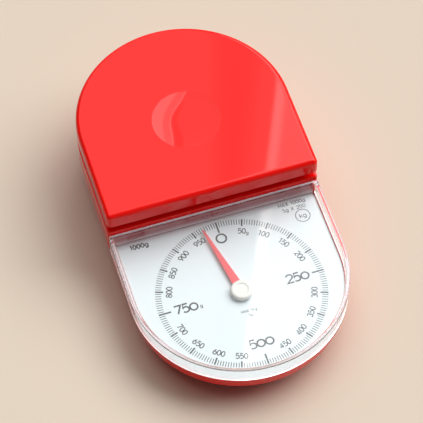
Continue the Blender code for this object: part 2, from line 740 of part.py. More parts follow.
def make_post_screw():
    head_top = CARRIER_Z - SEAT_GAP
    head_low = head_top - 1.3 * MM
    tip = CARRIER_Z + CARRIER_THICK + SEAT_GAP + 1.1 * MM
    profile = [
        (0, tip),
        (CHASSIS_SCREW_R, tip),
        (CHASSIS_SCREW_R, head_top),
        (CHASSIS_SCREW_HEAD_R, head_top),
        (CHASSIS_SCREW_HEAD_R, head_low),
        (0, head_low),
    ]
    turned("post_screw", profile, steel, (0, POST_Y, 0))


def spring_bar_holes(z0, z1, centre_r):
    bm = bmesh.new()
    for side in (-1, 1):
        x = side * SPRING_X
        add_rod(bm, HOOK_HOLE_R, (x, SPRING_Y, z0), (x, SPRING_Y, z1))
    add_rod(bm, centre_r, (0, SPRING_Y, z0), (0, SPRING_Y, z1))
    return bm


def make_carrier():
    low, high = CARRIER_Z, CARRIER_Z + CARRIER_THICK
    bar = rectangle(-BAR_END_X, BAR_END_X, SPRING_Y - BAR_HALF, SPRING_Y + BAR_HALF, 1.5 * MM)
    bm = bmesh.new()
    add_prism(bm, bar, low, high)
    carrier = make("spring_carrier", bm, steel, origin=(0, POST_Y, low))
    bm = bmesh.new()
    stem = rectangle(-6.0 * MM, 6.0 * MM, POST_Y - 6.0 * MM, SPRING_Y, 2.0 * MM)
    add_prism(bm, stem, low, high)
    fuse(carrier, bm)
    bm = spring_bar_holes(low - MM, high + MM, ZERO_SCREW_R + 1.1 * MM)
    add_rod(bm, CHASSIS_SCREW_R + HOLE_GAP, (0, POST_Y, low - MM), (0, POST_Y, high + MM))
    cut(carrier, bm)


def make_yoke():
    low, high = YOKE_Z, YOKE_Z + YOKE_THICK
    bar = rectangle(-BAR_END_X, BAR_END_X, SPRING_Y - BAR_HALF, SPRING_Y + BAR_HALF, 1.5 * MM)
    bm = bmesh.new()
    add_prism(bm, bar, low, high)
    yoke = make("spring_yoke", bm, steel, origin=(0, SPRING_Y, low))
    bm = bmesh.new()
    boss_r = BAR_HALF + 0.3 * MM
    add_rod(bm, boss_r, (0, SPRING_Y, low - 1.8 * MM), (0, SPRING_Y, high + 1.5 * MM))
    fuse(yoke, bm)
    cut(yoke, spring_bar_holes(low - 3 * MM, high + 3 * MM, ZERO_SCREW_R + RUN_GAP))


def spring_path():
    """Coil with a straight tail through each bar and a bent end beyond it, about its own axis."""
    per_turn = 11
    low_tail = CARRIER_Z - 1.2 * MM
    high_tail = YOKE_Z + YOKE_THICK + 1.2 * MM
    lead = 1.1 * MM
    path = [(HOOK_REACH, 0, low_tail), (0.5 * MM, 0, low_tail), (0, 0, low_tail + 0.5 * MM)]
    path.append((0, 0, SPRING_LOW_Z - lead))
    count = SPRING_TURNS * per_turn
    for i in range(count + 1):
        a = 2 * math.pi * i / per_turn
        z = SPRING_LOW_Z + (SPRING_HIGH_Z - SPRING_LOW_Z) * i / count
        path.append((SPRING_COIL_R * math.cos(a), SPRING_COIL_R * math.sin(a), z))
    path.append((0, 0, SPRING_HIGH_Z + lead))
    path += [(0, 0, high_tail - 0.5 * MM), (0.5 * MM, 0, high_tail), (HOOK_REACH, 0, high_tail)]
    return path


def make_springs():
    curve = bpy.data.curves.new("spring_wire", "CURVE")
    curve.dimensions = "3D"
    curve.bevel_depth = SPRING_WIRE_R
    curve.bevel_resolution = 2
    curve.use_fill_caps = True
    curve.materials.append(spring_steel)
    path = spring_path()
    spline = curve.splines.new("POLY")
    spline.points.add(len(path) - 1)
    for point, place in zip(spline.points, path):
        point.co = (*place, 1.0)
    for name, side in (("spring_left", -1), ("spring_right", 1)):
        spring = bpy.data.objects.new(name, curve)
        spring.location = (side * SPRING_X, SPRING_Y, 0)
        if side < 0:
            spring.rotation_euler = (0, 0, math.pi)
        parts.objects.link(spring)


# ---- zero adjuster ----------------------------------------------------------------------
def make_zero_adjuster():
    collar = STAND_Z + 1.4 * MM
    profile = [
        (0, ZERO_TOP_Z),
        (ZERO_SCREW_R - 0.4 * MM, ZERO_TOP_Z),
        (ZERO_SCREW_R, ZERO_TOP_Z - 0.4 * MM),
        (ZERO_SCREW_R, collar),
        (ZERO_COLLAR_R, collar),
        (ZERO_COLLAR_R, STAND_Z),
        (ZERO_SCREW_R, STAND_Z),
        (ZERO_SCREW_R, KNOB_BOTTOM_Z + 0.6 * MM),
        (0, KNOB_BOTTOM_Z + 0.6 * MM),
    ]
    turned("zero_screw", profile, steel, (0, SPRING_Y, 0))
    steps = KNOB_FLUTES * 4
    outline = []
    for i in range(steps):
        a = 2 * math.pi * i / steps
        r = KNOB_R - 0.35 * MM * (1 - math.cos(KNOB_FLUTES * a)) / 2
        outline.append((r * math.cos(a), SPRING_Y + r * math.sin(a)))
    bm = bmesh.new()
    add_prism(bm, outline, KNOB_BOTTOM_Z, KNOB_TOP_Z)
    knob = make("zero_knob", bm, black, origin=(0, SPRING_Y, KNOB_BOTTOM_Z), sharp=50)
    bm = bmesh.new()
    low, high = KNOB_BOTTOM_Z + 0.35 * MM, KNOB_TOP_Z + MM
    add_rod(bm, ZERO_SCREW_R + RUN_GAP, (0, SPRING_Y, low), (0, SPRING_Y, high))
    cut(knob, bm)
    # Slot for a fingernail or a coin across the knob's lower face.
    bm = bmesh.new()
    reach = KNOB_R - 2.5 * MM
    for side in (-1, 1):
        x0, x1 = sorted((side * 2.4 * MM, side * reach))
        z1 = KNOB_BOTTOM_Z + 1.0 * MM
        add_box(bm, x0, x1, SPRING_Y - 0.8 * MM, SPRING_Y + 0.8 * MM, 0, z1)
    cut(knob, bm)


# ---- crank and rack ---------------------------------------------------------------------
def arm_outline(y0, z0, y1, z1, half0, half1):
    """Tapered arm in (y, z) from one eye to another, without its round ends."""
    along = Vector((y1 - y0, z1 - z0)).normalized()
    across = Vector((-along.y, along.x))
    start, end = Vector((y0, z0)), Vector((y1, z1))
    corners = [start - across * half0, end - across * half1, end + across * half1]
    corners.append(start + across * half0)
    return [(c.x, c.y) for c in corners]


def make_crank():
    axle = (0, CRANK_Y, CRANK_Z)
    half = CRANK_HALF
    hub_half = BRACKET_X - SEAT_GAP
    bm = bmesh.new()
    add_rod(bm, CRANK_HUB_R, (-hub_half, CRANK_Y, CRANK_Z), (hub_half, CRANK_Y, CRANK_Z))
    crank = make("bell_crank", bm, brass, origin=axle)
    eyes = ((TIP_Y, UPPER_Z, 1.7 * MM), (RACK_PIN_Y, RACK_PIN_Z, 1.5 * MM))
    for y, z, narrow in eyes:
        bm = bmesh.new()
        outline = arm_outline(CRANK_Y, CRANK_Z, y, z, 2.0 * MM, narrow)
        add_side_plate(bm, outline, -half, half)
        fuse(crank, bm)
        bm = bmesh.new()
        add_rod(bm, CRANK_EYE_R, (-half, y, z), (half, y, z))
        fuse(crank, bm)
    bm = bmesh.new()
    reach = hub_half + 1 * MM
    add_rod(bm, CRANK_AXLE_R + RUN_GAP, (-reach, CRANK_Y, CRANK_Z), (reach, CRANK_Y, CRANK_Z))
    for y, z, _ in eyes:
        add_rod(bm, CRANK_PIN_R + RUN_GAP, (-2 * half, y, z), (2 * half, y, z))
    cut(crank, bm)

    names = ("crank_lever_pin", "crank_rack_pin")
    for name, (y, z, _) in zip(names, eyes):
        bm = bmesh.new()
        add_rod(bm, CRANK_PIN_R, (-half - 0.4 * MM, y, z), (CRANK_PIN_END_X, y, z))
        make(name, bm, steel, origin=(0, y, z))
    reach = BRACKET_X + BRACKET_THICK + 0.8 * MM
    make_cross_pin("crank_axle", CRANK_Y, CRANK_Z, CRANK_AXLE_R, reach, steel)


def make_bracket():
    outer = BRACKET_X + BRACKET_THICK
    top = CRANK_Z + 2.6 * MM
    foot_y = (CRANK_Y - 4.0 * MM, CRANK_Y + 4.0 * MM)
    bm = bmesh.new()
    add_box(bm, -outer, outer, *foot_y, STAND_Z, STAND_Z + 1.0 * MM)
    bracket = make("crank_bracket", bm, steel)
    bm = bmesh.new()
    for side in (-1, 1):
        x0, x1 = sorted((side * BRACKET_X, side * outer))
        outline = rectangle(
            CRANK_Y - BRACKET_HALF, CRANK_Y + BRACKET_HALF, STAND_Z + 0.3 * MM, top, 0.25 * MM
        )
        add_side_plate(bm, outline, x0, x1)
    fuse(bracket, bm)
    bm = bmesh.new()
    reach = outer + 1 * MM
    add_rod(bm, CRANK_AXLE_R + RUN_GAP, (-reach, CRANK_Y, CRANK_Z), (reach, CRANK_Y, CRANK_Z))
    cut(bracket, bm)


def rack_outline():
    """Rack seen from above: teeth towards the pinion, a plain back."""
    root = PITCH_R + DEDENDUM
    tip = PITCH_R - ADDENDUM
    pitch = math.pi * MODULE
    root_half = TOOTH_HALF + DEDENDUM * TOOTH_SLOPE
    tip_half = TOOTH_HALF - ADDENDUM * TOOTH_SLOPE
    rear_y = RACK_PIN_Y - 2.6 * MM
    points = [(RACK_BACK_X, RACK_FRONT_Y), (RACK_BACK_X, rear_y), (root, rear_y)]
    ahead = 2  # teeth in front of the pinion's axis at rest, besides the one in mesh
    for i in range(RACK_TEETH):
        y = DIAL_Y + (RACK_TEETH - 1 - ahead - i) * pitch
        points += [(root, y + root_half), (tip, y + tip_half), (tip, y - tip_half)]
        points.append((root, y - root_half))
    points.append((root, RACK_FRONT_Y))
    return points


def make_rack():
    bm = bmesh.new()
    add_prism(bm, rack_outline(), RACK_Z, RACK_Z + RACK_THICK)
    rack = make("rack", bm, brass, origin=(PITCH_R, DIAL_Y, RACK_Z))
    middle_z = (RACK_PIN_Z + RACK_PIN_LOW_Z) / 2
    lift = (RACK_PIN_Z - RACK_PIN_LOW_Z) / 2
    half_z = lift + CRANK_PIN_R + SLIDE_GAP
    x0, x1 = 3.2 * MM, 4.4 * MM
    bm = bmesh.new()
    tab = rectangle(
        RACK_PIN_Y - 3.0 * MM,
        RACK_PIN_Y + 2.6 * MM,
        middle_z - half_z - 0.7 * MM,
        middle_z + half_z + 1.0 * MM,
        0.6 * MM,
    )
    add_side_plate(bm, tab, x0, x1)
    fuse(rack, bm)
    bm = bmesh.new()
    half_y = CRANK_PIN_R + SLIDE_GAP
    slot = rectangle(
        RACK_PIN_Y - half_y, RACK_PIN_Y + half_y, middle_z - half_z, middle_z + half_z
    )
    add_side_plate(bm, slot, x0 - 1 * MM, x1 + 1 * MM)
    cut(rack, bm)


def make_rack_guides():
    root = PITCH_R + DEDENDUM
    for name, y in GUIDE_SPOTS.items():
        bm = bmesh.new()
        low, high = STAND_Z, RACK_Z + RACK_THICK + SLIDE_GAP + 1.6 * MM
        add_box(bm, root - 1.9 * MM, RACK_BACK_X + 1.8 * MM, y, y + GUIDE_LENGTH, low, high)
        guide = make(name, bm, nylon)
        bm = bmesh.new()
        add_box(
            bm,
            root - SLIDE_GAP,
            RACK_BACK_X + SLIDE_GAP,
            y - 1 * MM,
            y + GUIDE_LENGTH + 1 * MM,
            RACK_Z - SLIDE_GAP,
            RACK_Z + RACK_THICK + SLIDE_GAP,
        )
        cut(guide, bm)


# ---- pointer ----------------------------------------------------------------------------
def pinion_outline():
    """Teeth with a gap facing the rack, so that the rack's middle tooth lies in it."""
    points = []
    step = 2 * math.pi / TEETH
    root = PITCH_R - DEDENDUM
    tip = PITCH_R + ADDENDUM
    root_half = TOOTH_HALF + DEDENDUM * TOOTH_SLOPE * 0.4
    tip_half = TOOTH_HALF - ADDENDUM * TOOTH_SLOPE * 1.2
    for i in range(TEETH):
        middle = (i + 0.5) * step
        flank = ((root, -root_half), (PITCH_R, -TOOTH_HALF), (tip, -tip_half))
        corners = list(flank) + [(r, -h) for r, h in reversed(flank)]
        for r, half in corners:
            a = middle + half / r
            points.append((r * math.cos(a), DIAL_Y + r * math.sin(a)))
    return points


def make_pinion():
    bm = bmesh.new()
    add_prism(bm, pinion_outline(), PINION_Z, PINION_Z + PINION_LENGTH)
    pinion = make("pinion", bm, brass, origin=(0, DIAL_Y, PINION_Z), sharp=20)
    bm = bmesh.new()
    low, high = PINION_Z - MM, PINION_Z + PINION_LENGTH + MM
    add_rod(bm, SHAFT_R + RUN_GAP, (0, DIAL_Y, low), (0, DIAL_Y, high))
    cut(pinion, bm)


def make_shaft():
    top = CAP_TOP_Z - CAP_WALL - SEAT_GAP
    edge = 0.15 * MM
    profile = [
        (0, top),
        (SHAFT_R - edge, top),
        (SHAFT_R, top - edge),
        (SHAFT_R, SHAFT_BOTTOM_Z),
        (0, SHAFT_BOTTOM_Z),
    ]
    turned("pointer_shaft", profile, steel, (0, DIAL_Y, 0))


def make_bushes():
    bore = SHAFT_R + RUN_GAP
    places = (("bush_lower", STAND_Z, CHASSIS_THICK), ("bush_upper", BRIDGE_TOP_Z + SEAT_GAP, 1.2 * MM))
    for name, seat, plate in places:
        top = seat + 0.8 * MM
        bottom = seat - plate - 0.9 * MM
        profile = [
            (bore, top),
            (BUSH_FLANGE_R, top),
            (BUSH_FLANGE_R, seat),
            (BUSH_R, seat),
            (BUSH_R, bottom),
            (bore, bottom),
        ]
        turned(name, profile, brass, (0, DIAL_Y, 0))


def make_bridge():
    low_y, high_y = DIAL_Y - BRIDGE_HALF, DIAL_Y + BRIDGE_HALF
    outer = BRIDGE_X + BRIDGE_THICK
    under = BRIDGE_TOP_Z - BRIDGE_THICK
    toe = outer + 4.0 * MM
    foot = STAND_Z + BRIDGE_THICK
    section = [
        (-toe, STAND_Z),
        (-BRIDGE_X, STAND_Z),
        (-BRIDGE_X, under),
        (BRIDGE_X, under),
        (BRIDGE_X, STAND_Z),
        (toe, STAND_Z),
        (toe, foot),
        (outer, foot),
        (outer, BRIDGE_TOP_Z),
        (-outer, BRIDGE_TOP_Z),
        (-outer, foot),
        (-toe, foot),
    ]
    bm = bmesh.new()
    extrude(bm, [(x, low_y, z) for x, z in section], (0, high_y - low_y, 0))
    bridge = make("bearing_bridge", bm, steel)
    bm = bmesh.new()
    add_rod(bm, BUSH_R + HOLE_GAP, (0, DIAL_Y, under - MM), (0, DIAL_Y, BRIDGE_TOP_Z + MM))
    cut(bridge, bm)


def turned_about_dial(points):
    """Outline given with the pointer straight to the rear, turned to its rest position."""
    c, s = math.cos(POINTER_TURN), math.sin(POINTER_TURN)
    return [(x * c - y * s, DIAL_Y + x * s + y * c) for x, y in points]


def make_pointer():
    low, high = POINTER_Z, POINTER_Z + POINTER_THICK
    tip = POINTER_TIP - POINTER_TIP_HALF
    blade = [(-POINTER_ROOT_HALF, 1.5 * MM), (POINTER_ROOT_HALF, 1.5 * MM)]
    blade += arc(0, tip, POINTER_TIP_HALF, 0, 180, 6)
    bm = bmesh.new()
    add_prism(bm, turned_about_dial(blade), low, high)
    pointer = make("pointer", bm, coral, origin=(0, DIAL_Y, low))
    bm = bmesh.new()
    add_rod(bm, POINTER_BOSS_R, (0, DIAL_Y, low), (0, DIAL_Y, high))
    fuse(pointer, bm)
    bm = bmesh.new()
    add_rod(bm, SHAFT_R + RUN_GAP, (0, DIAL_Y, low - MM), (0, DIAL_Y, high + MM))
    cut(pointer, bm)


def make_hub_cap():
    inside = CAP_TOP_Z - CAP_WALL
    edge = 0.6 * MM
    profile = [
        (0, CAP_TOP_Z - 0.12 * MM),
        (CAP_RING_R - 0.25 * MM, CAP_TOP_Z - 0.12 * MM),
        (CAP_RING_R, CAP_TOP_Z),
        (CAP_R - edge, CAP_TOP_Z),
        (CAP_R - edge * 0.3, CAP_TOP_Z - edge * 0.3),
        (CAP_R, CAP_TOP_Z - edge),
        (CAP_R, CAP_BOTTOM_Z),
        (CAP_R - CAP_WALL, CAP_BOTTOM_Z),
        (CAP_R - CAP_WALL, inside),
        (0, inside),
    ]
    cap = turned("hub_cap", profile, cream, (0, DIAL_Y, 0), LARGE_STEPS)
    half = POINTER_ROOT_HALF + SEAT_GAP
    slot = turned_about_dial([(-half, 0), (half, 0), (half, CAP_R + MM), (-half, CAP_R + MM)])
    bm = bmesh.new()
    add_prism(bm, slot, CAP_BOTTOM_Z - MM, POINTER_Z + POINTER_THICK + SEAT_GAP)
    cut(cap, bm)


# ---- build ------------------------------------------------------------------------------
clear_scene()
parts = new_collection(NAME)
cutters = new_collection("Cutters", hidden=True)

red = new_material("red_plastic", (0.78, 0.03, 0.025), 0.25)
clear = new_material("clear_plastic", (0.95, 0.97, 0.98), 0.03, transmission=1.0)
white = new_material("dial_white", (0.88, 0.90, 0.91), 0.5)
coral = new_material("pointer_coral", (0.85, 0.10, 0.12), 0.4)
cream = new_material("cap_cream", (0.93, 0.90, 0.84), 0.4)
black = new_material("knob_black", (0.03, 0.03, 0.03), 0.5)
rubber = new_material("foot_rubber", (0.05, 0.05, 0.05), 0.8)
nylon = new_material("nylon_white", (0.82, 0.82, 0.78), 0.5)
steel = new_material("zinc_steel", (0.62, 0.63, 0.65), 0.35, metallic=1.0)
spring_steel = new_material("spring_steel", (0.48, 0.49, 0.52), 0.3, metallic=1.0)
brass = new_material("brass", (0.78, 0.58, 0.25), 0.3, metallic=1.0)

make_base()
make_housing()
make_cover()
make_dial()
make_platform()
make_feet()
make_case_screws()
make_chassis()
make_chassis_screws()
make_upper_lever()
make_lower_arm()
make_pins()
make_post()
make_post_screw()
make_carrier()
make_yoke()
make_springs()
make_zero_adjuster()
make_crank()
make_bracket()
make_rack()
make_rack_guides()
make_pinion()
make_shaft()
make_bushes()
make_bridge()
make_pointer()
make_hub_cap()
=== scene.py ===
"""Looks of a small dial kitchen scale: glossy red case and platform, clear dial cover, printed dial,
coral pointer and cream cap. Metres, +Z up, +Y towards the platform.

The moulded pieces are lofted shells on the same outlines as the solids that they stand for. The dial's
marks come from one Geometry Nodes tree, and its figures are drawn as strokes of even width.
"""

import json
import math

import bmesh
import bpy
from mathutils import Matrix, Vector


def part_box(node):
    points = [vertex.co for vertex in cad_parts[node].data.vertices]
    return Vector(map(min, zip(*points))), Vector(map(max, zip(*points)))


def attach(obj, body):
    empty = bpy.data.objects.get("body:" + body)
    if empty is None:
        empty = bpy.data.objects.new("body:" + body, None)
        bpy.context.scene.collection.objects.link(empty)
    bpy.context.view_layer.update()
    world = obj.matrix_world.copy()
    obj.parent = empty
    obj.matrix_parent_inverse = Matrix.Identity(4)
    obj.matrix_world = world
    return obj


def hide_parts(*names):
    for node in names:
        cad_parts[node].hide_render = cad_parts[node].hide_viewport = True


MM = 0.001

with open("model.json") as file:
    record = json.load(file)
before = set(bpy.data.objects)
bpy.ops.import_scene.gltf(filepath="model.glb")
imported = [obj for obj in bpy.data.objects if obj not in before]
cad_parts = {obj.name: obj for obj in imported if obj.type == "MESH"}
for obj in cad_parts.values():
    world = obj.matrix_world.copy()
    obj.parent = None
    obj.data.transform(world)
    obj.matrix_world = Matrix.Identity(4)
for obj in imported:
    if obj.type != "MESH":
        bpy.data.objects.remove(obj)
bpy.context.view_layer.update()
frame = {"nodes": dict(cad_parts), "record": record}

# ---- sizes, from the solids -------------------------------------------------------------------
CASE_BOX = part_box("base_tray")
HOUSING_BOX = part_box("rear_housing")
COVER_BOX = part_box("dial_cover")
DIAL_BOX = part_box("dial_plate")
PLATFORM_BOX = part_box("platform")
CAP_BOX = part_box("hub_cap")

CASE_R = CASE_BOX[1].x
ARC_Y = CASE_BOX[1].y - CASE_R
SPLIT_Y = HOUSING_BOX[0].y
WALL = 2.0 * MM
SEAT_GAP = 0.3 * MM

BASE_Z = CASE_BOX[0].z
RIM_Z = COVER_BOX[0].z - SEAT_GAP
LIP_Z = 13.0 * MM
DIAL_Z = DIAL_BOX[1].z
DIAL_CENTRE = Vector((0, -ARC_Y - 5.4 * MM, DIAL_Z))
COVER_TOP = COVER_BOX[1].z
SHOULDER_Z = 32.5 * MM  # top of the housing's wall, under the gap below the platform
NECK_TOP = HOUSING_BOX[1].z
PLATFORM_TOP = PLATFORM_BOX[1].z
POST_Y = ARC_Y - 3.9 * MM
KNOB_Y = POST_Y + 18.5 * MM
KNOB_HOLE_R = 8.8 * MM
POST_HOLE_R = 9.5 * MM
SKIRT_DEPTH = 6.4 * MM  # straight part of the platform's skirt
SOCKET_Z = 36.5 * MM  # lower end of the platform's socket for the post
SOCKET_R = 8.0 * MM
SOCKET_BORE_R = 5.3 * MM
DISH_R = 17.25 * MM
DISH_DEPTH = 0.8 * MM
DISH_STEPS = 24
SHAFT_HOLE_R = 3.0 * MM
COVER_WALL = 1.8 * MM
COVER_BEND = 1.2 * MM
COVER_REAR_SHARP = 0.8  # how much less the cover's rear edge is rounded than its sides
COVER_REAR_THIN = 0.4  # how much thinner its rear wall is, as a share of the wall

ARC_STEPS = 96  # round a half circle of the case
BEND_STEPS = 16  # round a quarter circle
SIDE_STEPS = 24  # along a straight side
CREASE = math.radians(6.5)  # edges sharper than this show as edges


# ---- outlines ---------------------------------------------------------------------------------
def arc(x, y, radius, start, end, steps):
    turns = [math.radians(start + (end - start) * i / steps) for i in range(steps + 1)]
    return [(x + radius * math.cos(a), y + radius * math.sin(a)) for a in turns]


def between(start, end, steps):
    """Points inside the straight line from start to end."""
    shares = [i / steps for i in range(1, steps)]
    return [(start[0] + (end[0] - start[0]) * t, start[1] + (end[1] - start[1]) * t) for t in shares]


def stadium(inset):
    rear = arc(0, ARC_Y, CASE_R - inset, 0, 180, ARC_STEPS)
    return rear + arc(0, -ARC_Y, CASE_R - inset, 180, 360, ARC_STEPS)


def rear_dee(inset, front_y, corner):
    """Half circle at the rear and straight at the front, with as many points at any inset."""
    radius = CASE_R - inset
    edge = front_y + inset
    bend = max(corner - inset, 0.15 * MM)
    right = arc(radius - bend, edge + bend, bend, -90, 0, BEND_STEPS)
    left = arc(bend - radius, edge + bend, bend, 180, 270, BEND_STEPS)
    rear = arc(0, ARC_Y, radius, 0, 180, ARC_STEPS)
    up = between(right[-1], rear[0], SIDE_STEPS)
    down = between(rear[-1], left[0], SIDE_STEPS)
    return right + up + rear + down + left + between(left[-1], right[0], 2 * SIDE_STEPS)


def front_dee(inset, rear_y, corner):
    return [(x, -y) for x, y in reversed(rear_dee(inset, -rear_y, corner))]


def circle_like(outline, x, y, radius):
    """Circle with a point in the direction of each point of the outline."""
    directions = [Vector((px - x, py - y)).normalized() for px, py in outline]
    return [(x + radius * d.x, y + radius * d.y) for d in directions]


def quarter(inset, z, radius, up=True):
    """(inset, z) round a convex edge, from the wall to the flat above, or below."""
    turns = [math.pi / 2 * i / BEND_STEPS for i in range(BEND_STEPS + 1)]
    side = 1 if up else -1
    return [(inset + radius * (1 - math.cos(a)), z - side * radius * (1 - math.sin(a))) for a in turns]


# ---- meshes -----------------------------------------------------------------------------------
def add_loft(bm, rings, ring_shaped=False):
    """Skin through rings of (outline, z). A ring-shaped one joins its last ring to its first."""
    loops = [[bm.verts.new((x, y, z)) for x, y in outline] for outline, z in rings]
    pairs = list(zip(loops, loops[1:]))
    if ring_shaped:
        pairs.append((loops[-1], loops[0]))
    for lower, upper in pairs:
        for i in range(len(lower)):
            j = (i + 1) % len(lower)
            bm.faces.new((lower[i], lower[j], upper[j], upper[i]))
    if not ring_shaped:
        bm.faces.new(list(reversed(loops[0])))
        bm.faces.new(loops[-1])


def add_box(bm, low, high):
    low, high = Vector(low), Vector(high)
    size = Matrix.Diagonal((*(high - low), 1))
    bmesh.ops.create_cube(bm, size=1, matrix=Matrix.Translation((low + high) / 2) @ size)


def add_cylinder(bm, x, y, radius, low, high, steps=64):
    place = Matrix.Translation((x, y, (low + high) / 2))
    bmesh.ops.create_cone(
        bm, cap_ends=True, segments=steps, radius1=radius, radius2=radius, depth=high - low, matrix=place
    )


def piece(name, bm, look, body=None, stands_for=(), crease=CREASE):
    """Object from a bmesh, with smooth faces and creased edges, riding on its body."""
    bmesh.ops.recalc_face_normals(bm, faces=bm.faces)
    for face in bm.faces:
        face.smooth = True
    for edge in bm.edges:
        edge.smooth = len(edge.link_faces) == 2 and edge.calc_face_angle() < crease
    mesh = bpy.data.meshes.new(name)
    bm.to_mesh(mesh)
    bm.free()
    obj = bpy.data.objects.new(name, mesh)
    bpy.context.scene.collection.objects.link(obj)
    mesh.materials.append(look)
    if body:
        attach(obj, body)
    for node in stands_for:
        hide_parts(node)
    return obj


def drilled(bm, tools):
    """The bmesh with the tools' bmesh taken away."""
    solids = []
    for name, made in (("solid", bm), ("tools", tools)):
        bmesh.ops.recalc_face_normals(made, faces=made.faces)
        mesh = bpy.data.meshes.new(name)
        made.to_mesh(mesh)
        made.free()
        obj = bpy.data.objects.new(name, mesh)
        bpy.context.scene.collection.objects.link(obj)
        solids.append(obj)
    hollow = solids[0].modifiers.new("holes", "BOOLEAN")
    hollow.operation = "DIFFERENCE"
    hollow.solver = "EXACT"
    hollow.object = solids[1]
    graph = bpy.context.evaluated_depsgraph_get()
    result = bmesh.new()
    result.from_mesh(bpy.data.meshes.new_from_object(solids[0].evaluated_get(graph)))
    for obj in solids:
        bpy.data.objects.remove(obj)
    bmesh.ops.dissolve_degenerate(result, dist=1e-7, edges=result.edges)
    return result


def lathe(profile, x, y, steps=64):
    """Turned shape about the vertical through (x, y). The profile is (radius, z), ends on the axis."""
    bm = bmesh.new()
    around = arc(0, 0, 1.0, 0, 360 - 360 / steps, steps - 1)
    inner = profile[1:-1]
    loops = [[bm.verts.new((x + cx * r, y + cy * r, z)) for cx, cy in around] for r, z in inner]
    ends = [bm.verts.new((x, y, profile[0][1])), bm.verts.new((x, y, profile[-1][1]))]
    for lower, upper in zip(loops, loops[1:]):
        for i in range(steps):
            j = (i + 1) % steps
            bm.faces.new((lower[i], lower[j], upper[j], upper[i]))
    for tip, loop in zip(ends, (loops[0], loops[-1])):
        for i in range(steps):
            bm.faces.new((tip, loop[i], loop[(i + 1) % steps]))
    return bm


# ---- shader groups ----------------------------------------------------------------------------
def new_group(name, inputs, outputs):
    """Empty shader node group with (name, socket type, default) inputs and (name, type) outputs."""
    tree = bpy.data.node_groups.new(name, "ShaderNodeTree")
    for label, kind, default in inputs:
        tree.interface.new_socket(label, in_out="INPUT", socket_type=kind).default_value = default
    for label, kind in outputs:
        tree.interface.new_socket(label, in_out="OUTPUT", socket_type=kind)
    return tree, tree.nodes.new("NodeGroupInput"), tree.nodes.new("NodeGroupOutput")


def add_node(tree, kind, **settings):
    node = tree.nodes.new(kind)
    for key, value in settings.items():
        if key in node.inputs:
            node.inputs[key].default_value = value
        else:
            setattr(node, key, value)
    return node


def math_node(tree, operation, a, b=None):
    node = tree.nodes.new("ShaderNodeMath")
    node.operation = operation
    for socket, value in zip(node.inputs, (a, b)):
        if isinstance(value, bpy.types.NodeSocket):
            tree.links.new(value, socket)
        elif value is not None:
            socket.default_value = value
    return node.outputs[0]


def shade_mix(tree, colour, factor):
    """The colour made lighter or darker by the factor."""
    node = tree.nodes.new("ShaderNodeVectorMath")
    node.operation = "SCALE"
    tree.links.new(colour, node.inputs[0])
    tree.links.new(factor, node.inputs["Scale"])
    return node.outputs[0]


def build_surface_group():
    """Cloudy shade, uneven gloss and a fine grain, for moulded, painted and plated surfaces alike."""
    tree, inside, outside = new_group(
        "uneven_surface",
        [
            ("Colour", "NodeSocketColor", (0.5, 0.5, 0.5, 1)),
            ("Cloud size", "NodeSocketFloat", 60.0),
            ("Shade spread", "NodeSocketFloat", 0.04),
            ("Roughness", "NodeSocketFloat", 0.3),
            ("Gloss spread", "NodeSocketFloat", 0.05),
            ("Grain size", "NodeSocketFloat", 2000.0),
            ("Stretch", "NodeSocketVector", (1.0, 1.0, 1.0)),
        ],
        [("Colour", "NodeSocketColor"), ("Roughness", "NodeSocketFloat"), ("Grain", "NodeSocketFloat")],
    )
    place = add_node(tree, "ShaderNodeTexCoord").outputs["Object"]
    stretched = tree.nodes.new("ShaderNodeVectorMath")
    stretched.operation = "MULTIPLY"
    tree.links.new(place, stretched.inputs[0])
    tree.links.new(inside.outputs["Stretch"], stretched.inputs[1])

    def noise(scale, detail):
        node = add_node(tree, "ShaderNodeTexNoise", Detail=detail)
        tree.links.new(stretched.outputs[0], node.inputs["Vector"])
        tree.links.new(scale, node.inputs["Scale"])
        return node.outputs["Fac"]

    cloud = math_node(tree, "SUBTRACT", noise(inside.outputs["Cloud size"], 3.0), 0.5)
    grain = noise(inside.outputs["Grain size"], 2.0)
    spread = math_node(tree, "MULTIPLY", cloud, inside.outputs["Shade spread"])
    shade = math_node(tree, "ADD", math_node(tree, "MULTIPLY", spread, 2.0), 1.0)
    tree.links.new(shade_mix(tree, inside.outputs["Colour"], shade), outside.inputs["Colour"])
    uneven = math_node(tree, "ADD", cloud, math_node(tree, "SUBTRACT", grain, 0.5))
    gloss = math_node(tree, "MULTIPLY", uneven, inside.outputs["Gloss spread"])
    rough = math_node(tree, "ADD", inside.outputs["Roughness"], gloss)
    tree.links.new(rough, outside.inputs["Roughness"])
    tree.links.new(grain, outside.inputs["Grain"])
    return tree


SURFACE = build_surface_group()


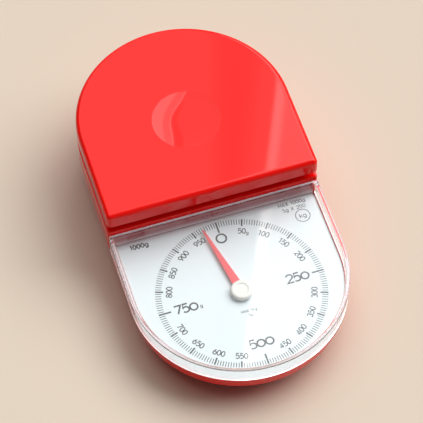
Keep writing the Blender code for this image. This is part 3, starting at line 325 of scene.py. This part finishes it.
def finish(name, colour, roughness, cloud=60, shade=0.04, gloss=0.05, grain=2500, bump=0.02,
           stretch=(1, 1, 1), **shader_values):
    """Principled material whose colour, gloss and bump come from the uneven-surface group."""
    look = bpy.data.materials.new(name)
    look.use_nodes = True
    tree = look.node_tree
    shader = tree.nodes["Principled BSDF"]
    for key, value in shader_values.items():
        shader.inputs[key.replace("_", " ")].default_value = value
    uneven = tree.nodes.new("ShaderNodeGroup")
    uneven.node_tree = SURFACE
    for label, value in (
        ("Colour", (*colour, 1)),
        ("Cloud size", cloud),
        ("Shade spread", shade),
        ("Roughness", roughness),
        ("Gloss spread", gloss),
        ("Grain size", grain),
        ("Stretch", stretch),
    ):
        uneven.inputs[label].default_value = value
    tree.links.new(uneven.outputs["Colour"], shader.inputs["Base Color"])
    tree.links.new(uneven.outputs["Roughness"], shader.inputs["Roughness"])
    relief = add_node(tree, "ShaderNodeBump", Strength=bump, Distance=0.1 * MM)
    tree.links.new(uneven.outputs["Grain"], relief.inputs["Height"])
    tree.links.new(relief.outputs["Normal"], shader.inputs["Normal"])
    look.diffuse_color = (*colour, 1)
    return look


def srgb(red, green, blue):
    """Linear colour from 0 to 255 screen values."""

    def linear(value):
        share = value / 255
        return ((share + 0.055) / 1.055) ** 2.4 if value > 10 else share / 12.92

    return tuple(linear(value) for value in (red, green, blue))


def clear_finish():
    """Clear acrylic. Light for the dial passes straight through it, without bending."""
    look = bpy.data.materials.new("clear_acrylic")
    look.use_nodes = True
    tree = look.node_tree
    shader = tree.nodes["Principled BSDF"]
    shader.inputs["Base Color"].default_value = (0.985, 0.99, 0.995, 1)
    shader.inputs["Transmission Weight"].default_value = 1.0
    shader.inputs["IOR"].default_value = 1.49
    smudge = add_node(tree, "ShaderNodeTexNoise", Scale=90.0, Detail=4.0)
    where = tree.nodes.new("ShaderNodeTexCoord")
    tree.links.new(where.outputs["Object"], smudge.inputs["Vector"])
    rough = math_node(tree, "MULTIPLY", smudge.outputs["Fac"], 0.03)
    tree.links.new(rough, shader.inputs["Roughness"])
    passing = add_node(tree, "ShaderNodeBsdfTransparent", Color=(0.965, 0.975, 0.98, 1))
    path = tree.nodes.new("ShaderNodeLightPath")
    straight = math_node(tree, "MAXIMUM", path.outputs["Is Shadow Ray"], path.outputs["Is Diffuse Ray"])
    mix = tree.nodes.new("ShaderNodeMixShader")
    tree.links.new(straight, mix.inputs["Fac"])
    tree.links.new(shader.outputs[0], mix.inputs[1])
    tree.links.new(passing.outputs[0], mix.inputs[2])
    tree.links.new(mix.outputs[0], tree.nodes["Material Output"].inputs["Surface"])
    return look


def fade_up(look, foot, low, high):
    """Paints shade into the finish as a height gradient: from the foot colour at the low height to its own
    colour at the high one.
    """
    tree = look.node_tree
    shader = tree.nodes["Principled BSDF"]
    own = shader.inputs["Base Color"].links[0].from_socket
    apart = tree.nodes.new("ShaderNodeSeparateXYZ")
    tree.links.new(tree.nodes.new("ShaderNodeTexCoord").outputs["Object"], apart.inputs[0])
    ramp = add_node(tree, "ShaderNodeMapRange", interpolation_type="SMOOTHSTEP")
    ramp.inputs["From Min"].default_value = low
    ramp.inputs["From Max"].default_value = high
    tree.links.new(apart.outputs["Z"], ramp.inputs["Value"])
    blend = add_node(tree, "ShaderNodeMix", data_type="RGBA")
    tree.links.new(ramp.outputs[0], blend.inputs["Factor"])
    blend.inputs[6].default_value = (*foot, 1)
    tree.links.new(own, blend.inputs[7])
    tree.links.new(blend.outputs[2], shader.inputs["Base Color"])


red = finish("red_gloss", srgb(251, 18, 12), 0.016, cloud=35, shade=0.02, gloss=0.006, grain=900,
             bump=0.004, IOR=1.43)
clear = clear_finish()
dial_white = finish("dial_white", srgb(231, 243, 247), 0.5, shade=0.01, grain=6000, bump=0.02)
seal_white = finish("seal_white", srgb(250, 236, 240), 0.6, cloud=300, shade=0.06, grain=5000, bump=0.1)
# painted shade: the joint strip is a darker pink at the top, fading to near white at its foot
seal_painted_shade = finish("seal_painted_shade", srgb(186, 92, 98), 0.6, cloud=300, shade=0.06, grain=5000, bump=0.1)
fade_up(seal_painted_shade, srgb(252, 250, 251), RIM_Z - 0.6 * MM, COVER_TOP - 6.0 * MM)
ink = finish("dial_ink", srgb(28, 36, 39), 0.55, cloud=400, shade=0.12, grain=9000, bump=0.02)
coral = finish("pointer_coral", srgb(238, 70, 80), 0.35, cloud=120, shade=0.03, grain=4000, bump=0.02)
cream = finish("cap_cream", srgb(240, 240, 234), 0.32, cloud=150, shade=0.02, grain=3000, bump=0.02)
black = finish("knob_black", srgb(38, 38, 40), 0.45, cloud=150, shade=0.12, gloss=0.1, grain=3500, bump=0.08)
rubber = finish("foot_rubber", srgb(42, 41, 41), 0.75, cloud=200, shade=0.15, gloss=0.1, grain=3000, bump=0.25)
nylon = finish("nylon_white", srgb(228, 226, 216), 0.4, cloud=150, shade=0.03, grain=3000, bump=0.05)
steel = finish("zinc_steel", srgb(196, 198, 202), 0.32, cloud=220, shade=0.08, gloss=0.18, grain=1800,
               bump=0.06, Metallic=1.0)
wire = finish("spring_wire", srgb(150, 153, 160), 0.26, cloud=300, shade=0.08, gloss=0.12, grain=2500,
              bump=0.05, Metallic=1.0)
brass = finish("brass", srgb(214, 178, 104), 0.27, cloud=200, shade=0.08, gloss=0.14, grain=2500,
               bump=0.05, Metallic=1.0)

LOOKS = {
    "red_plastic": red,
    "clear_plastic": clear,
    "dial_white": dial_white,
    "pointer_coral": coral,
    "cap_cream": cream,
    "knob_black": black,
    "foot_rubber": rubber,
    "nylon_white": nylon,
    "zinc_steel": steel,
    "spring_steel": wire,
    "brass": brass,
}


def dress_solids():
    """Every solid gets the look of its material slot."""
    for part in frame["record"]["subparts"]:
        mesh = frame["nodes"][part["node"]].data
        mesh.materials.clear()
        mesh.materials.append(LOOKS[part["material_slot"]])


# ---- moulded pieces ---------------------------------------------------------------------------
def make_base():
    ledge = DIAL_BOX[0].z - SEAT_GAP
    floor = BASE_Z + WALL
    outer = [(10.5 * MM, BASE_Z), (8.4 * MM, BASE_Z + 0.35 * MM), (6.6 * MM, BASE_Z + 1.7 * MM)]
    outer += [(1.35 * MM, LIP_Z - 0.35 * MM), (1.1 * MM, LIP_Z)]
    outer += quarter(0.0, RIM_Z, 0.3 * MM)
    inner = [
        (WALL, RIM_Z),
        (WALL, ledge),
        (WALL + 2.5 * MM, ledge),
        (WALL + 2.5 * MM, ledge - 1.5 * MM),
        (WALL + 0.9 * MM, ledge - 1.5 * MM),
        (WALL + 1.1 * MM, LIP_Z + 0.3 * MM),
        (8.4 * MM, floor + 0.7 * MM),
        (9.2 * MM, floor),
    ]
    bm = bmesh.new()
    add_loft(bm, [(stadium(inset), z) for inset, z in outer + inner])
    tools = bmesh.new()
    below = BASE_Z - MM
    for foot in ("foot_1", "foot_2", "foot_3", "foot_4"):
        low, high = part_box(foot)
        middle = (low + high) / 2
        add_cylinder(tools, middle.x, middle.y, (high.x - low.x) / 2 + SEAT_GAP, below, BASE_Z + 0.6 * MM)
    for screw in ("case_screw_1", "case_screw_2", "case_screw_3", "case_screw_4"):
        low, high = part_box(screw)
        middle = (low + high) / 2
        add_cylinder(tools, middle.x, middle.y, (high.x - low.x) / 2 + SEAT_GAP, below, floor + MM)
    add_cylinder(tools, 0, KNOB_Y, KNOB_HOLE_R, below, floor + MM)
    base = drilled(bm, tools)
    piece("base_shell", base, red, "case", ["base_tray"])


def make_housing():
    seam = RIM_Z + SEAT_GAP
    corner = 1.2 * MM
    neck = 3.2 * MM
    edge = 0.7 * MM
    low = NECK_TOP - WALL

    def ring(inset, z):
        return rear_dee(inset, SPLIT_Y, corner), z

    outline = rear_dee(neck + edge + 0.4 * MM, SPLIT_Y, corner)
    hole = circle_like(outline, 0, POST_Y, POST_HOLE_R)
    wall = [(0.0, seam)] + quarter(0.0, SHOULDER_Z, edge) + [(neck - 0.2 * MM, SHOULDER_Z)]
    wall += [(neck, SHOULDER_Z + 0.2 * MM)] + quarter(neck, NECK_TOP, edge)
    inside = [(WALL, seam), (WALL, SHOULDER_Z - WALL), (neck + WALL, SHOULDER_Z - WALL), (neck + WALL, low)]
    rings = [(hole, low)] + [ring(*spot) for spot in reversed(inside)]
    rings += [ring(*spot) for spot in wall] + [(outline, NECK_TOP), (hole, NECK_TOP)]
    bm = bmesh.new()
    add_loft(bm, rings, ring_shaped=True)
    half = CASE_R - WALL - 0.6 * MM
    add_box(bm, (-half, SPLIT_Y, DIAL_Z + SEAT_GAP), (half, SPLIT_Y + WALL, seam + 0.5 * MM))
    piece("rear_shell", bm, red, "case", ["rear_housing"])


def make_cover():
    seam = COVER_BOX[0].z
    rear = COVER_BOX[1].y
    ceiling = COVER_TOP - COVER_WALL

    def outer_ring(inset, z):
        """Ring drawn in less at the rear than round the sides."""
        return front_dee(inset, rear + min(inset, COVER_BEND) * COVER_REAR_SHARP, COVER_BEND), z

    def inner_ring(inset, z):
        return front_dee(inset, rear + inset * COVER_REAR_THIN, COVER_BEND), z

    inner = [(COVER_WALL, seam)] + quarter(COVER_WALL, ceiling, 0.5 * MM) + [(COVER_WALL + MM, ceiling)]
    outer = [(0.0, seam)] + quarter(0.0, COVER_TOP, COVER_BEND) + [(COVER_BEND + 0.3 * MM, COVER_TOP)]
    rings = [inner_ring(*spot) for spot in reversed(inner)] + [outer_ring(*spot) for spot in outer]
    bm = bmesh.new()
    add_loft(bm, rings)
    piece("clear_cover", bm, clear, "case", ["dial_cover"])


def make_seals():
    """Thin pale ring in the seam under the cover's wall, and a strip in the upright joint behind it, whose pink
    is painted shade, darkest at the top and fading to near white at its foot.
    """
    rear = COVER_BOX[1].y
    low, high = RIM_Z + 0.03 * MM, COVER_BOX[0].z - 0.03 * MM
    outside = front_dee(0.4 * MM, rear, COVER_BEND)
    inside = front_dee(1.75 * MM, rear + 0.75 * MM, COVER_BEND)
    bm = bmesh.new()
    add_loft(bm, [(inside, low), (outside, low), (outside, high), (inside, high)], ring_shaped=True)
    piece("rim_seal", bm, seal_white, "case")

    half = CASE_R - 2.4 * MM
    bm = bmesh.new()
    add_box(bm, (-half, rear + 0.05 * MM, high), (half, SPLIT_Y - 0.05 * MM, COVER_TOP - 1.4 * MM))
    # its pink, darkest at the top and near white at the foot, is painted shade
    piece("joint_seal", bm, seal_painted_shade, "case")


def make_dial():
    inset = CASE_R - DIAL_BOX[1].x
    outline = front_dee(inset, DIAL_BOX[1].y + inset, 0.5 * MM)
    hole = circle_like(outline, DIAL_CENTRE.x, DIAL_CENTRE.y, SHAFT_HOLE_R)
    low = DIAL_BOX[0].z
    bm = bmesh.new()
    add_loft(bm, [(hole, low), (outline, low), (outline, DIAL_Z), (hole, DIAL_Z)], ring_shaped=True)
    piece("dial_face", bm, dial_white, "case", ["dial_plate"])


def make_platform():
    corner = 2.5 * MM
    bend = 2.5 * MM
    thick = 2.5 * MM
    wall = 2.2 * MM
    front = PLATFORM_BOX[0].y
    hem = PLATFORM_TOP - bend - SKIRT_DEPTH
    under = PLATFORM_TOP - thick
    socket = ((SOCKET_BORE_R, under), (SOCKET_BORE_R, SOCKET_Z), (SOCKET_R, SOCKET_Z), (SOCKET_R, under))

    def ring(inset, z):
        return rear_dee(inset, front, corner), z

    outline = rear_dee(bend + 0.5 * MM, front, corner)
    rings = [(circle_like(outline, 0, POST_Y, r), z) for r, z in socket]
    rings += [ring(wall + 0.3 * MM, under), ring(wall, under - 0.3 * MM), ring(wall, hem)]
    rings += [ring(*spot) for spot in quarter(0.0, hem, 0.4 * MM, up=False)[::-1]]
    rings += [ring(*spot) for spot in quarter(0.0, PLATFORM_TOP, bend)]
    rings += [(outline, PLATFORM_TOP), (circle_like(outline, 0, POST_Y, DISH_R + 0.3 * MM), PLATFORM_TOP)]
    for i in range(DISH_STEPS):
        share = math.cos(math.pi / 2 * i / DISH_STEPS)
        drop = DISH_DEPTH * (1 - share**3)  # flat in the middle and steeper towards its rim
        rings.append((circle_like(outline, 0, POST_Y, DISH_R * share), PLATFORM_TOP - drop))
    bm = bmesh.new()
    add_loft(bm, rings)
    piece("platform_shell", bm, red, "platform_body", ["platform"])


def make_cap():
    low, high = CAP_BOX[0].z, CAP_BOX[1].z
    radius = CAP_BOX[1].x
    bend = 1.1 * MM
    x, y = DIAL_CENTRE.x, DIAL_CENTRE.y
    hollow = [(0, high - 0.9 * MM), (0.2 * MM, high - 0.9 * MM), (radius - 0.9 * MM, high - 0.9 * MM)]
    hollow += [(radius - 0.9 * MM, low), (radius - 0.2 * MM, low), (radius, low + 0.2 * MM)]
    rounded = [(radius - inset, z) for inset, z in quarter(0.0, high, bend)]
    rim = [(3.5 * MM, high), (3.3 * MM, high - 0.06 * MM), (3.1 * MM, high - 0.25 * MM)]
    rim += [(2.9 * MM, high - 0.3 * MM), (0.2 * MM, high - 0.3 * MM), (0, high - 0.3 * MM)]
    piece("cap_button", lathe(hollow + rounded + rim, x, y), cream, "pointer_body", ["hub_cap"])


# ---- dial print -------------------------------------------------------------------------------
INK_LIFT = 0.005 * MM
INK_THICK = 0.03 * MM
TICK_R = 42.0 * MM


def build_tick_tree():
    """Marks round a circle: short ones, a longer one every tenth and a longest one every fiftieth."""
    tree = bpy.data.node_groups.new("dial_marks", "GeometryNodeTree")
    tree.is_modifier = True
    for label, kind in (
        ("Count", "NodeSocketInt"),
        ("Outer radius", "NodeSocketFloat"),
        ("Short", "NodeSocketFloat"),
        ("Middle", "NodeSocketFloat"),
        ("Long", "NodeSocketFloat"),
        ("Thin", "NodeSocketFloat"),
        ("Thick", "NodeSocketFloat"),
        ("Height", "NodeSocketFloat"),
        ("Material", "NodeSocketMaterial"),
    ):
        tree.interface.new_socket(label, in_out="INPUT", socket_type=kind)
    tree.interface.new_socket("Geometry", in_out="OUTPUT", socket_type="NodeSocketGeometry")
    inside = tree.nodes.new("NodeGroupInput")
    outside = tree.nodes.new("NodeGroupOutput")
    link = tree.links.new

    line = tree.nodes.new("GeometryNodeMeshLine")
    link(inside.outputs["Count"], line.inputs["Count"])
    index = tree.nodes.new("GeometryNodeInputIndex").outputs[0]
    tenth = math_node(tree, "LESS_THAN", math_node(tree, "MODULO", index, 10.0), 0.5)
    fiftieth = math_node(tree, "LESS_THAN", math_node(tree, "MODULO", index, 50.0), 0.5)

    def choose(flag, no, yes):
        node = tree.nodes.new("ShaderNodeMix")
        link(flag, node.inputs["Factor"])
        link(no, node.inputs["A"])
        link(yes, node.inputs["B"])
        return node.outputs["Result"]

    length = choose(tenth, inside.outputs["Short"], inside.outputs["Middle"])
    length = choose(fiftieth, length, inside.outputs["Long"])
    width = choose(tenth, inside.outputs["Thin"], inside.outputs["Thick"])
    step = math_node(tree, "DIVIDE", -2 * math.pi, inside.outputs["Count"])
    angle = math_node(tree, "MULTIPLY", index, step)
    half = math_node(tree, "MULTIPLY", length, 0.5)
    radius = math_node(tree, "SUBTRACT", inside.outputs["Outer radius"], half)
    x = math_node(tree, "MULTIPLY", math_node(tree, "SINE", angle), math_node(tree, "MULTIPLY", radius, -1.0))
    y = math_node(tree, "MULTIPLY", math_node(tree, "COSINE", angle), radius)

    def vector(*values):
        node = tree.nodes.new("ShaderNodeCombineXYZ")
        for socket, value in zip(node.inputs, values):
            if value is not None:
                link(value, socket)
        return node.outputs[0]

    spots = tree.nodes.new("GeometryNodeSetPosition")
    link(line.outputs[0], spots.inputs["Geometry"])
    link(vector(x, y, None), spots.inputs["Position"])
    bar = add_node(tree, "GeometryNodeMeshCube")
    bar.inputs["Size"].default_value = (1, 1, 1)
    copies = tree.nodes.new("GeometryNodeInstanceOnPoints")
    link(spots.outputs[0], copies.inputs["Points"])
    link(bar.outputs["Mesh"], copies.inputs["Instance"])
    link(vector(None, None, angle), copies.inputs["Rotation"])
    link(vector(width, length, inside.outputs["Height"]), copies.inputs["Scale"])
    real = tree.nodes.new("GeometryNodeRealizeInstances")
    link(copies.outputs[0], real.inputs[0])
    inked = tree.nodes.new("GeometryNodeSetMaterial")
    link(real.outputs[0], inked.inputs["Geometry"])
    link(inside.outputs["Material"], inked.inputs["Material"])
    link(inked.outputs[0], outside.inputs[0])
    return tree


def make_ticks():
    tree = build_tick_tree()
    holder = bpy.data.objects.new("tick_maker", bpy.data.meshes.new("tick_maker"))
    bpy.context.scene.collection.objects.link(holder)
    modifier = holder.modifiers.new("marks", "NODES")
    modifier.node_group = tree
    values = {
        "Count": 200,
        "Outer radius": TICK_R,
        "Short": 3.0 * MM,
        "Middle": 3.9 * MM,
        "Long": 6.2 * MM,
        "Thin": 0.36 * MM,
        "Thick": 0.82 * MM,
        "Height": INK_THICK,
        "Material": ink,
    }
    for socket in tree.interface.items_tree:
        if socket.in_out == "INPUT":
            modifier[socket.identifier] = values[socket.name]
    graph = bpy.context.evaluated_depsgraph_get()
    mesh = bpy.data.meshes.new_from_object(holder.evaluated_get(graph))
    bpy.data.objects.remove(holder)
    mesh.transform(Matrix.Translation(DIAL_CENTRE + Vector((0, 0, INK_LIFT + INK_THICK / 2))))
    ticks = bpy.data.objects.new("dial_marks", mesh)
    bpy.context.scene.collection.objects.link(ticks)
    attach(ticks, "case")


def bow(x, y, rx, ry, start, end, steps=20):
    """Points along an elliptical arc."""
    turns = [math.radians(start + (end - start) * i / steps) for i in range(steps + 1)]
    return [(x + rx * math.cos(a), y + ry * math.sin(a)) for a in turns]


def glyph(sign, w):
    """Strokes of a figure or letter 1 high and w wide, lower left corner at the origin."""
    m = w / 2
    shapes = {
        "0": [bow(m, 0.5, m, 0.5, 0, 360, 32)],
        "o": [bow(m, m, m, m, 0, 360, 40)],
        "1": [[(m - 0.2, 0.8), (m + 0.05, 1), (m + 0.05, 0)]],
        "2": [bow(m, 0.72, m, 0.28, 165, -38) + [(0, 0), (w, 0)]],
        "3": [bow(m, 0.76, 0.86 * m, 0.24, 150, -80), bow(m, 0.27, m, 0.27, 80, -150)],
        "4": [[(0.76 * w, 0), (0.76 * w, 1), (0, 0.27), (w, 0.27)]],
        "5": [[(0.9 * w, 1), (0.2 * w, 1), (0.08 * w, 0.53)] + bow(0.46 * w, 0.325, 0.54 * w, 0.325, 132, -140)],
        "6": [bow(m, 0.31, m, 0.31, 0, 360, 28), [(0.72 * w, 1), (0.3 * w, 0.68), (0, 0.31)]],
        "7": [[(0, 1), (w, 1), (0.32 * w, 0)]],
        "8": [bow(m, 0.76, 0.84 * m, 0.24, 0, 360, 28), bow(m, 0.26, m, 0.26, 0, 360, 28)],
        "9": [bow(m, 0.69, m, 0.31, 0, 360, 28), [(0.28 * w, 0), (0.7 * w, 0.32), (w, 0.69)]],
        "g": [bow(m, 0.36, m, 0.34, 0, 360, 24), [(w, 0.7), (w, 0)] + bow(m, -0.02, m, 0.28, 0, -150, 10)],
        "k": [[(0, 0), (0, 1)], [(0.85 * w, 0.68), (0, 0.26)], [(0.3 * w, 0.42), (w, 0)]],
        "M": [[(0, 0), (0, 1), (m, 0.25), (w, 1), (w, 0)]],
        "A": [[(0, 0), (m, 1), (w, 0)], [(0.2 * w, 0.36), (0.8 * w, 0.36)]],
        "X": [[(0, 0), (w, 1)], [(0, 1), (w, 0)]],
        " ": [],
    }
    return shapes[sign]


def add_stroke(bm, points, width):
    """Bar of even width along the points, in the dial's ink."""
    spots = [Vector(p) for p in points]
    ring_shaped = (spots[0] - spots[-1]).length < 1e-6
    if ring_shaped:
        spots = spots[:-1]
    count = len(spots)
    low, high = DIAL_Z + INK_LIFT, DIAL_Z + INK_LIFT + INK_THICK
    sections = []
    for i, spot in enumerate(spots):
        before = spots[i - 1] if i or ring_shaped else None
        after = spots[(i + 1) % count] if i < count - 1 or ring_shaped else None
        along = [(b - a).normalized() for a, b in ((before, spot), (spot, after)) if a and b]
        mean = (along[0] + along[-1]).normalized()
        side = Vector((-mean.y, mean.x)) * (width / 2 / max(mean.dot(along[0]), 0.5))
        corners = [spot + side, spot - side]
        sections.append([bm.verts.new((p.x, p.y, z)) for z in (low, high) for p in corners])
    links = list(zip(sections, sections[1:]))
    if ring_shaped:
        links.append((sections[-1], sections[0]))
    for one, two in links:
        for a, b in ((0, 1), (1, 3), (3, 2), (2, 0)):
            bm.faces.new((one[a], one[b], two[b], two[a]))
    if not ring_shaped:
        for section in (sections[0], sections[-1]):
            bm.faces.new([section[i] for i in (0, 1, 3, 2)])


def add_figures(bm, text, centre, turn, height, widths, gap, stroke):
    """A word centred at a point of the dial, its top turned clockwise from the rear by turn degrees.
    widths gives a sign's width as a share of the height, with "" for the rest."""
    sizes = [widths.get(sign, widths[""]) * height for sign in text]
    x = -(sum(sizes) + gap * (len(text) - 1)) / 2
    place = Matrix.Rotation(-math.radians(turn), 2)
    for sign, size in zip(text, sizes):
        for points in glyph(sign, size / height):
            flat = [Vector((x + px * height, (py - 0.5) * height)) for px, py in points]
            add_stroke(bm, [place @ p + Vector(centre) for p in flat], stroke)
        x += size + gap


FULL_LOAD = 1000  # grams for one turn of the pointer
FIGURES_R = 35.2 * MM


def make_figures():
    bm = bmesh.new()
    small = {"": 0.58, "1": 0.4}
    for grams in range(50, FULL_LOAD, 50):
        if grams % 250 == 0:
            continue
        turn = grams * 360 / FULL_LOAD
        away = math.radians(turn)
        centre = (DIAL_CENTRE.x + FIGURES_R * math.sin(away), DIAL_CENTRE.y + FIGURES_R * math.cos(away))
        upright = turn if math.cos(away) > 0.0 else turn + 180
        add_figures(bm, str(grams), centre, upright, 2.75 * MM, small, 0.46 * MM, 0.5 * MM)

    def at(x, y):
        return DIAL_CENTRE.x + x * MM, DIAL_CENTRE.y + y * MM

    large = {"": 0.68, "o": 0.82, "7": 0.7, "2": 0.68}
    add_figures(bm, "o", at(0, 32.4), 0, 4.9 * MM, {"": 1.0}, 0, 0.85 * MM)
    for word, x, y in (("25o", 28.5, 0), ("75o", -28.2, 0), ("5oo", 0.4, -29.2)):
        add_figures(bm, word, at(x, y), 0, 4.6 * MM, large, 0.55 * MM, 0.84 * MM)
    for x, y in ((-20.9, -1.1), (13.1, 31.6)):
        add_figures(bm, "g", at(x, y), 0 if x < 0 else 20, 1.7 * MM, {"": 0.6}, 0, 0.32 * MM)
    caps = {"": 0.62, " ": 0.4, "M": 0.85, "k": 0.55, "1": 0.34}
    add_figures(bm, "MAX 1000g", at(39.4, 41.4), 0, 1.9 * MM, caps, 0.45 * MM, 0.32 * MM)
    add_figures(bm, "5g X 200", at(39.6, 38.1), 0, 1.9 * MM, caps, 0.45 * MM, 0.32 * MM)
    add_figures(bm, "1000g", at(-39.8, 40.6), 0, 2.3 * MM, caps, 0.6 * MM, 0.62 * MM)
    add_figures(bm, "MAX 1kg", at(0.2, -10.7), 0, 1.4 * MM, caps, 0.36 * MM, 0.24 * MM)
    add_figures(bm, "5g", at(0.2, -13.2), 0, 1.2 * MM, caps, 0.3 * MM, 0.2 * MM)
    add_figures(bm, "o", at(42.5, 32.8), 0, 7.2 * MM, {"": 1.0}, 0, 0.4 * MM)
    add_figures(bm, "kg", at(42.5, 32.8), 0, 2.4 * MM, caps, 0.4 * MM, 0.36 * MM)
    piece("dial_figures", bm, ink, "case", crease=math.radians(40))


# ---- stage ------------------------------------------------------------------------------------
AZIMUTH = math.radians(-16.703)
ELEVATION = math.radians(57.117)
ROLL = math.radians(-1.132)
DISTANCE = 1.0966
AIM = Vector((0.321, 0.575, 19.0)) * MM
LENS = 188.1

# Brightness of each part of the room, where white is 1.
AMBIENT = 0.08
CEILING = 1.35
DARK_BAND = 0.4  # how much darker the ceiling is next to the window
HALO = 0.4  # glow just outside the window's near edge
STRIPE = 1.8  # added along that edge
CURTAIN = 1.6
PANE = 2.8
SUN_SIDE = 5.0
LEFT_JAMB = (0.911, -0.407, 0.058)  # square to the plane through the window's near edge
RIGHT_JAMB = 120  # azimuth of its far edge, in degrees
SILL, HEAD = 0.45, 0.97  # how high the window starts and ends, as the sine of the elevation
FLOOR_COLOUR = srgb(219, 205, 188)


def make_camera():
    back = Vector(
        (math.sin(AZIMUTH) * math.cos(ELEVATION), -math.cos(AZIMUTH) * math.cos(ELEVATION), math.sin(ELEVATION))
    )
    across = Vector((math.cos(AZIMUTH), math.sin(AZIMUTH), 0))
    up = back.cross(across)
    right = math.cos(ROLL) * across + math.sin(ROLL) * up
    top = -math.sin(ROLL) * across + math.cos(ROLL) * up
    data = bpy.data.cameras.new("camera")
    data.lens = LENS
    data.sensor_width = 36
    data.clip_start = 0.05
    data.clip_end = 50
    camera = bpy.data.objects.new("camera", data)
    bpy.context.scene.collection.objects.link(camera)
    spot = AIM + back * DISTANCE
    camera.matrix_world = Matrix.Translation(spot) @ Matrix((right, top, back)).transposed().to_4x4()
    bpy.context.scene.camera = camera


def make_floor():
    look = finish("floor", FLOOR_COLOUR, 0.7, cloud=6, shade=0.01, grain=300, bump=0.0)
    bm = bmesh.new()
    bmesh.ops.create_grid(bm, x_segments=4, y_segments=4, size=6.0)
    floor = piece("floor", bm, look)


def make_world():
    """Even room light with one tall soft window to the right and rear, its near edge half curtained."""
    world = bpy.data.worlds.new("studio")
    bpy.context.scene.world = world
    world.use_nodes = True
    tree = world.node_tree
    tree.nodes.clear()
    link = tree.links.new
    direction = tree.nodes.new("ShaderNodeTexCoord").outputs["Generated"]

    def beyond(normal, start, soft):
        """0 to 1 where the direction passes the plane through the middle by more than start."""
        dot = tree.nodes.new("ShaderNodeVectorMath")
        dot.operation = "DOT_PRODUCT"
        link(direction, dot.inputs[0])
        dot.inputs[1].default_value = normal
        ramp = add_node(tree, "ShaderNodeMapRange", interpolation_type="SMOOTHSTEP")
        ramp.inputs["From Min"].default_value = start
        ramp.inputs["From Max"].default_value = start + soft
        link(dot.outputs["Value"], ramp.inputs["Value"])
        return ramp.outputs[0]

    def turned(azimuth):
        """Level direction square to the azimuth, which is clockwise from the rear in degrees."""
        return math.cos(math.radians(azimuth)), -math.sin(math.radians(azimuth)), 0.0

    left = LEFT_JAMB
    right = tuple(-v for v in turned(RIGHT_JAMB))
    height = math_node(tree, "MULTIPLY", beyond((0, 0, 1), SILL, 0.1), beyond((0, 0, -1), -HEAD, 0.05))
    span = math_node(tree, "MULTIPLY", height, beyond(right, 0.0, 0.15))
    edge = math_node(tree, "SUBTRACT", beyond(left, 0.0, 0.003), beyond(left, 0.004, 0.004))
    glow = math_node(tree, "MULTIPLY", edge, STRIPE)
    for mask, level in (
        (beyond(left, -0.014, 0.012), HALO),
        (beyond(left, 0.0, 0.003), CURTAIN - HALO),
        (beyond(left, 0.045, 0.02), PANE - CURTAIN),
        (beyond(turned(50), 0.0, 0.06), SUN_SIDE - PANE),
    ):
        glow = math_node(tree, "ADD", glow, math_node(tree, "MULTIPLY", mask, level))
    band = math_node(tree, "MULTIPLY", beyond(turned(16.9), -0.005, 0.012), -DARK_BAND)
    level = math_node(tree, "ADD", band, CEILING)
    above, rear_above = beyond((0, 0.26, 0.966), 0.87, 0.04), beyond((0.05, 0.64, 0.766), 0.9, 0.04)
    overhead = math_node(tree, "MULTIPLY", math_node(tree, "MAXIMUM", above, rear_above), level)
    room = math_node(tree, "ADD", overhead, AMBIENT)
    glow = math_node(tree, "ADD", math_node(tree, "MULTIPLY", glow, span), room)
    light = add_node(tree, "ShaderNodeBackground", Color=(1.0, 0.985, 0.965, 1))
    link(glow, light.inputs["Strength"])
    behind = add_node(tree, "ShaderNodeBackground", Color=(*srgb(240, 230, 218), 1), Strength=1.0)
    path = tree.nodes.new("ShaderNodeLightPath")
    mix = tree.nodes.new("ShaderNodeMixShader")
    link(path.outputs["Is Camera Ray"], mix.inputs["Fac"])
    link(light.outputs[0], mix.inputs[1])
    link(behind.outputs[0], mix.inputs[2])
    link(mix.outputs[0], tree.nodes.new("ShaderNodeOutputWorld").inputs["Surface"])


bpy.context.scene.view_settings.view_transform = "Standard"
make_camera()
dress_solids()
make_base()
make_housing()
make_cover()
make_seals()
make_dial()
make_platform()
make_cap()
make_ticks()
make_figures()
make_floor()
make_world()
